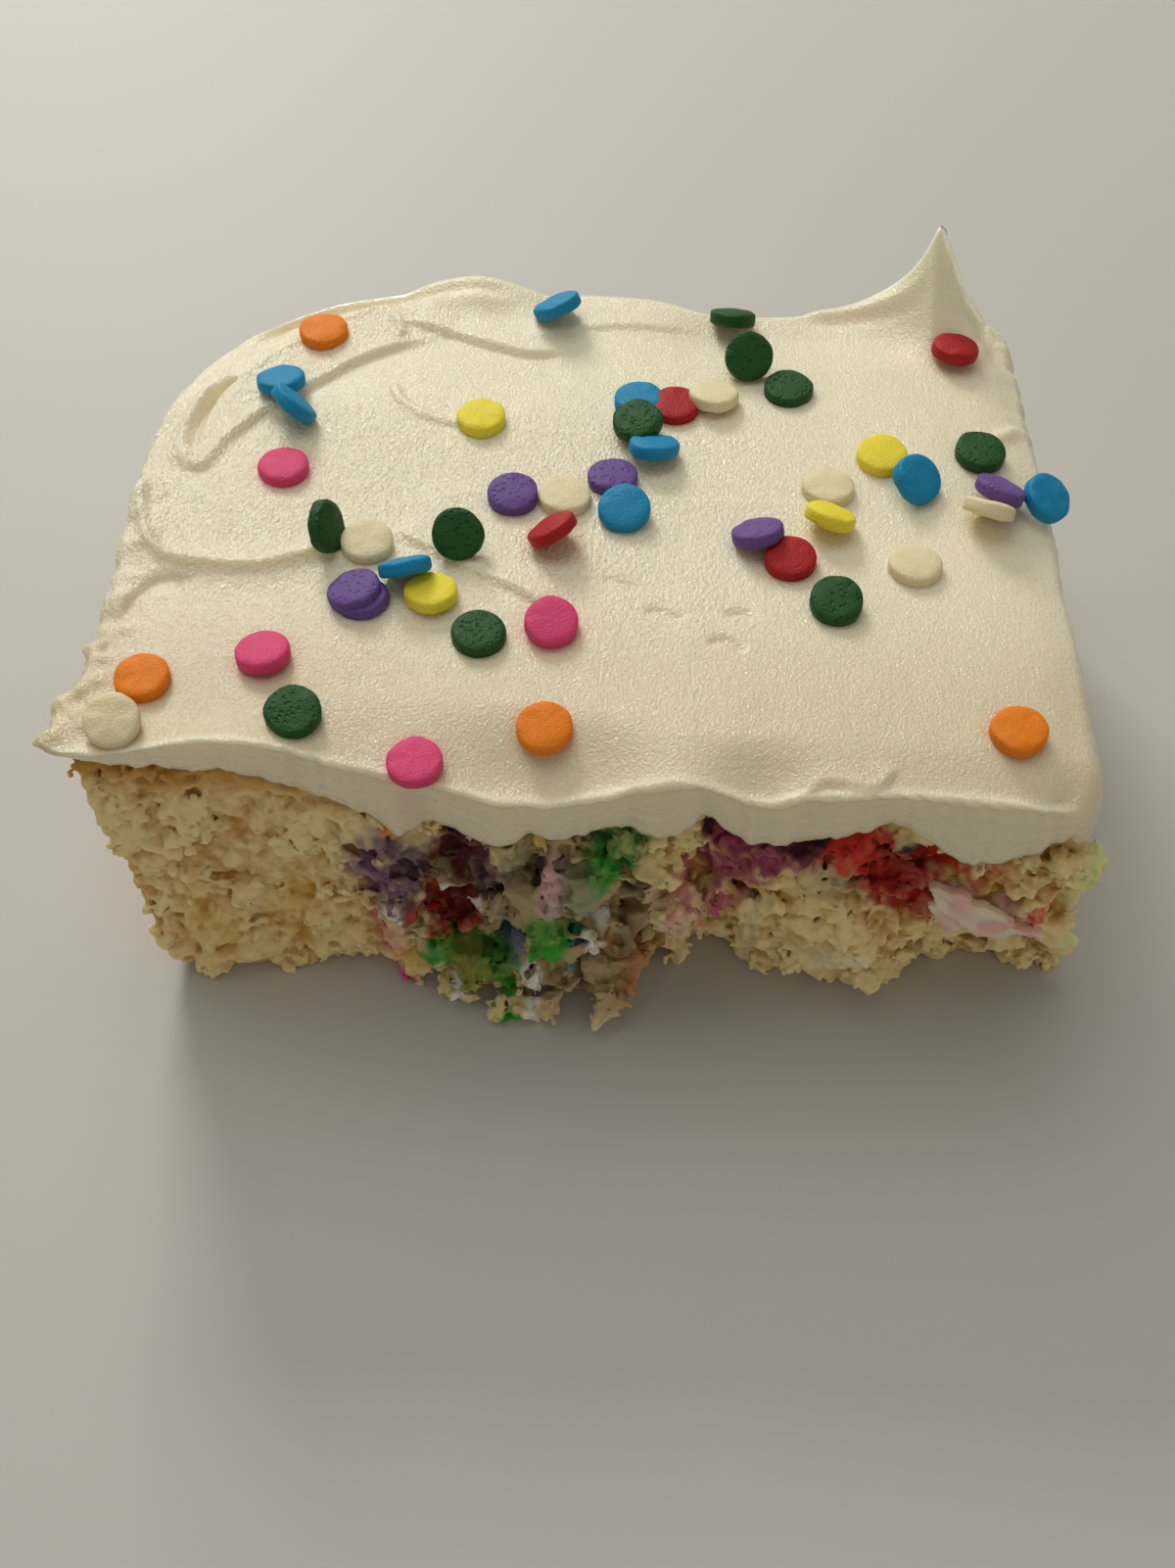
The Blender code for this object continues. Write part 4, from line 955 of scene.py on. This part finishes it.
# Stamped sugar paste: matt and a little chalky, with pits of about a third of a millimetre
PIT_SPACING_MM, PIT_DEPTH_MM, CHALK_MM = 0.55, 0.12, 0.18
quads, fans = disc_faces()
for layer, (colour, (hex_colour, pitting, places)) in enumerate(SPRINKLES.items()):
    paste = new_material(colour + " sugar paste")
    coordinates = add_node(paste, "TexCoord").outputs["Object"]
    pits = add_node(paste, "TexVoronoi", {"Vector": coordinates, "Scale": 1 / (PIT_SPACING_MM * MM)})
    depth = add_node(paste, "MapRange", {
        "Value": pits.outputs["Distance"], "From Min": 0.12, "From Max": 0.4,
        "To Min": 1 - pitting, "To Max": 1.0})
    chalk = add_node(paste, "TexNoise", {
        "Vector": coordinates, "Scale": 1 / (CHALK_MM * MM), "Detail": 1.0})
    grainy = add_node(paste, "Math", {
        0: chalk.outputs["Fac"], 1: 0.8, 2: depth.outputs["Result"]}, operation="MULTIPLY_ADD")
    # Painted shade: the paste's colour is darkened in its pits, and varies with the chalky noise
    shade = add_node(paste, "MapRange", {
        "Value": grainy.outputs["Value"], "From Min": 0.5, "From Max": 1.6,
        "To Min": 0.68, "To Max": 1.08})
    tint = add_node(paste, "Mix", {
        "Factor": 1.0, "A": (*linear(hex_colour), 1), "B": shade.outputs["Result"]},
        data_type="RGBA", blend_type="MULTIPLY")
    pitted = add_node(paste, "Bump", {
        "Height": grainy.outputs["Value"], "Strength": 0.9, "Distance": PIT_DEPTH_MM * MM})
    surface = add_node(paste, "BsdfPrincipled", {
        "Base Color": tint.outputs["Result"], "Roughness": 0.55, "IOR": 1.45,
        "Specular IOR Level": 0.35, "Normal": pitted.outputs["Normal"], "Subsurface Weight": 0.12,
        "Subsurface Radius": (1.0, 0.8, 0.6), "Subsurface Scale": 0.5 * MM})
    add_node(paste, "OutputMaterial", {"Surface": surface.outputs["BSDF"]})
    all_points, all_quads, all_fans = [], [], []
    for n, place in enumerate(places):
        turn, middle = disc_place(*place)
        disc = sugar_disc(layer * 11 + n) @ turn.T + middle
        all_quads.append(quads + n * len(disc))
        all_fans.append(fans + n * len(disc))
        all_points.append(disc)
    new_piece("sprinkles_" + colour, np.concatenate(all_points),
              [np.concatenate(all_quads), np.concatenate(all_fans)], paste)

# Some dyes bled a little into the icing round their discs, and the pink disc that the knife
# ran over left a smudge of pink down the front cut: x, z, half width, half height, strength
BLEEDS = {"orange": 0.12, "pink": 0.2, "red": 0.14, "purple": 0.06}
BLEED_REACH, BLEED_DEPTH = 0.9, 2.0
SMUDGE = (-14.8, 30.0, 1.5, 2.4, 0.16)
# The top is painted darker and yellower towards its front edge, most at the left, as painted shade. It keeps
# this much of its red, green and blue there
FRONT_SHADE_RGB = (0.8, 0.76, 0.68)
CURL_GLOW = 0.1
x, y, z = icing_points.T
cream = np.tile(linear(CREAM_COLOUR), (len(x), 1))
for colour, strength in BLEEDS.items():
    hex_colour, _, places = SPRINKLES[colour]
    for place in places:
        past_rim = np.hypot(x - place[0], y - place[1]) - DISC_DIAMETER / 2
        share = strength * bell(np.maximum(past_rim, 0), BLEED_REACH)
        under = z - icing_height(np.array(place[:1]), np.array(place[1:2])) + BLEED_DEPTH
        share *= ease(under / BLEED_DEPTH)
        cream = stained(cream, share, hex_colour)
smudge_x, smudge_z, half_width, half_height, strength = SMUDGE
share = np.exp(-((x - smudge_x) / half_width) ** 2 - ((z - smudge_z) / half_height) ** 2)
share *= strength * ease((-29 - y) / 2)
cream = stained(cream, share, SPRINKLES["pink"][0])
from_cut = y + DEPTH / 2 - along(FRONT_WAVE, x)
# Painted shade: darker and yellower towards the front edge
front_shade = (0.65 + 0.35 * ease((-8 - x) / 20)) * ease((-8 - y) / 16) * ease(from_cut / 1.2)
cream *= 1 - front_shade[:, None] * (1 - np.array(FRONT_SHADE_RGB))
# The curl is painted lighter towards its top, a painted glow for the window's light that comes through the
# thin icing
glow = ease((z - ICING_TOP - 0.5) / 3) * ease((x - CURL_FOOT_X) / 8)
cream *= (1 + CURL_GLOW * glow)[:, None]
paint(icing, "cream_with_dyes_shade_and_glow", cream)

# The floor and the light: a plain pale matt card, a window low at the back left that grazes the
# icing and leaves the front cut in soft shade, a wide sky light above, and the weak warm light
# of the room in front.

FLOOR_COLOUR = "C2BEB6"
floor_material = new_material("pale matt card")
card = add_node(floor_material, "BsdfPrincipled", {
    "Base Color": (*linear(FLOOR_COLOUR), 1), "Roughness": 0.6})
add_node(floor_material, "OutputMaterial", {"Surface": card.outputs["BSDF"]})
REACH = 1.5
floor_mesh = bpy.data.meshes.new("floor")
floor_mesh.from_pydata([(-REACH, -REACH, 0), (REACH, -REACH, 0), (REACH, REACH, 0), (-REACH, REACH, 0)],
                       [], [(0, 1, 2, 3)])
floor_mesh.materials.append(floor_material)
floor = bpy.data.objects.new("floor", floor_mesh)
bpy.context.scene.collection.objects.link(floor)

# Each light: name, place, size, power in watts, colour
LIGHTS = (
    ("window", (-0.22, 0.52, 0.4), 0.2, 2.3, "FFFDF8"),
    ("sky", (-0.25, 0.35, 1.3), 1.0, 5.5, "FFFFFF"),
    ("room", (0.5, -1.0, 0.6), 0.9, 1.0, "FFF1DE"),
)
for name, place, size, power, colour in LIGHTS:
    lamp = bpy.data.objects.new(name, bpy.data.lights.new(name, "AREA"))
    lamp.data.energy = power
    lamp.data.size = size
    lamp.data.color = linear(colour)
    lamp.location = place
    lamp.rotation_euler = (-Vector(place)).to_track_quat("-Z", "Y").to_euler()
    bpy.context.scene.collection.objects.link(lamp)

world = bpy.data.worlds.new("room light")
world.use_nodes = True
world.node_tree.nodes["Background"].inputs["Color"].default_value = (*linear("F4F2EE"), 1)
world.node_tree.nodes["Background"].inputs["Strength"].default_value = 0.3
bpy.context.scene.world = world
bpy.context.scene.view_settings.view_transform = "Standard"
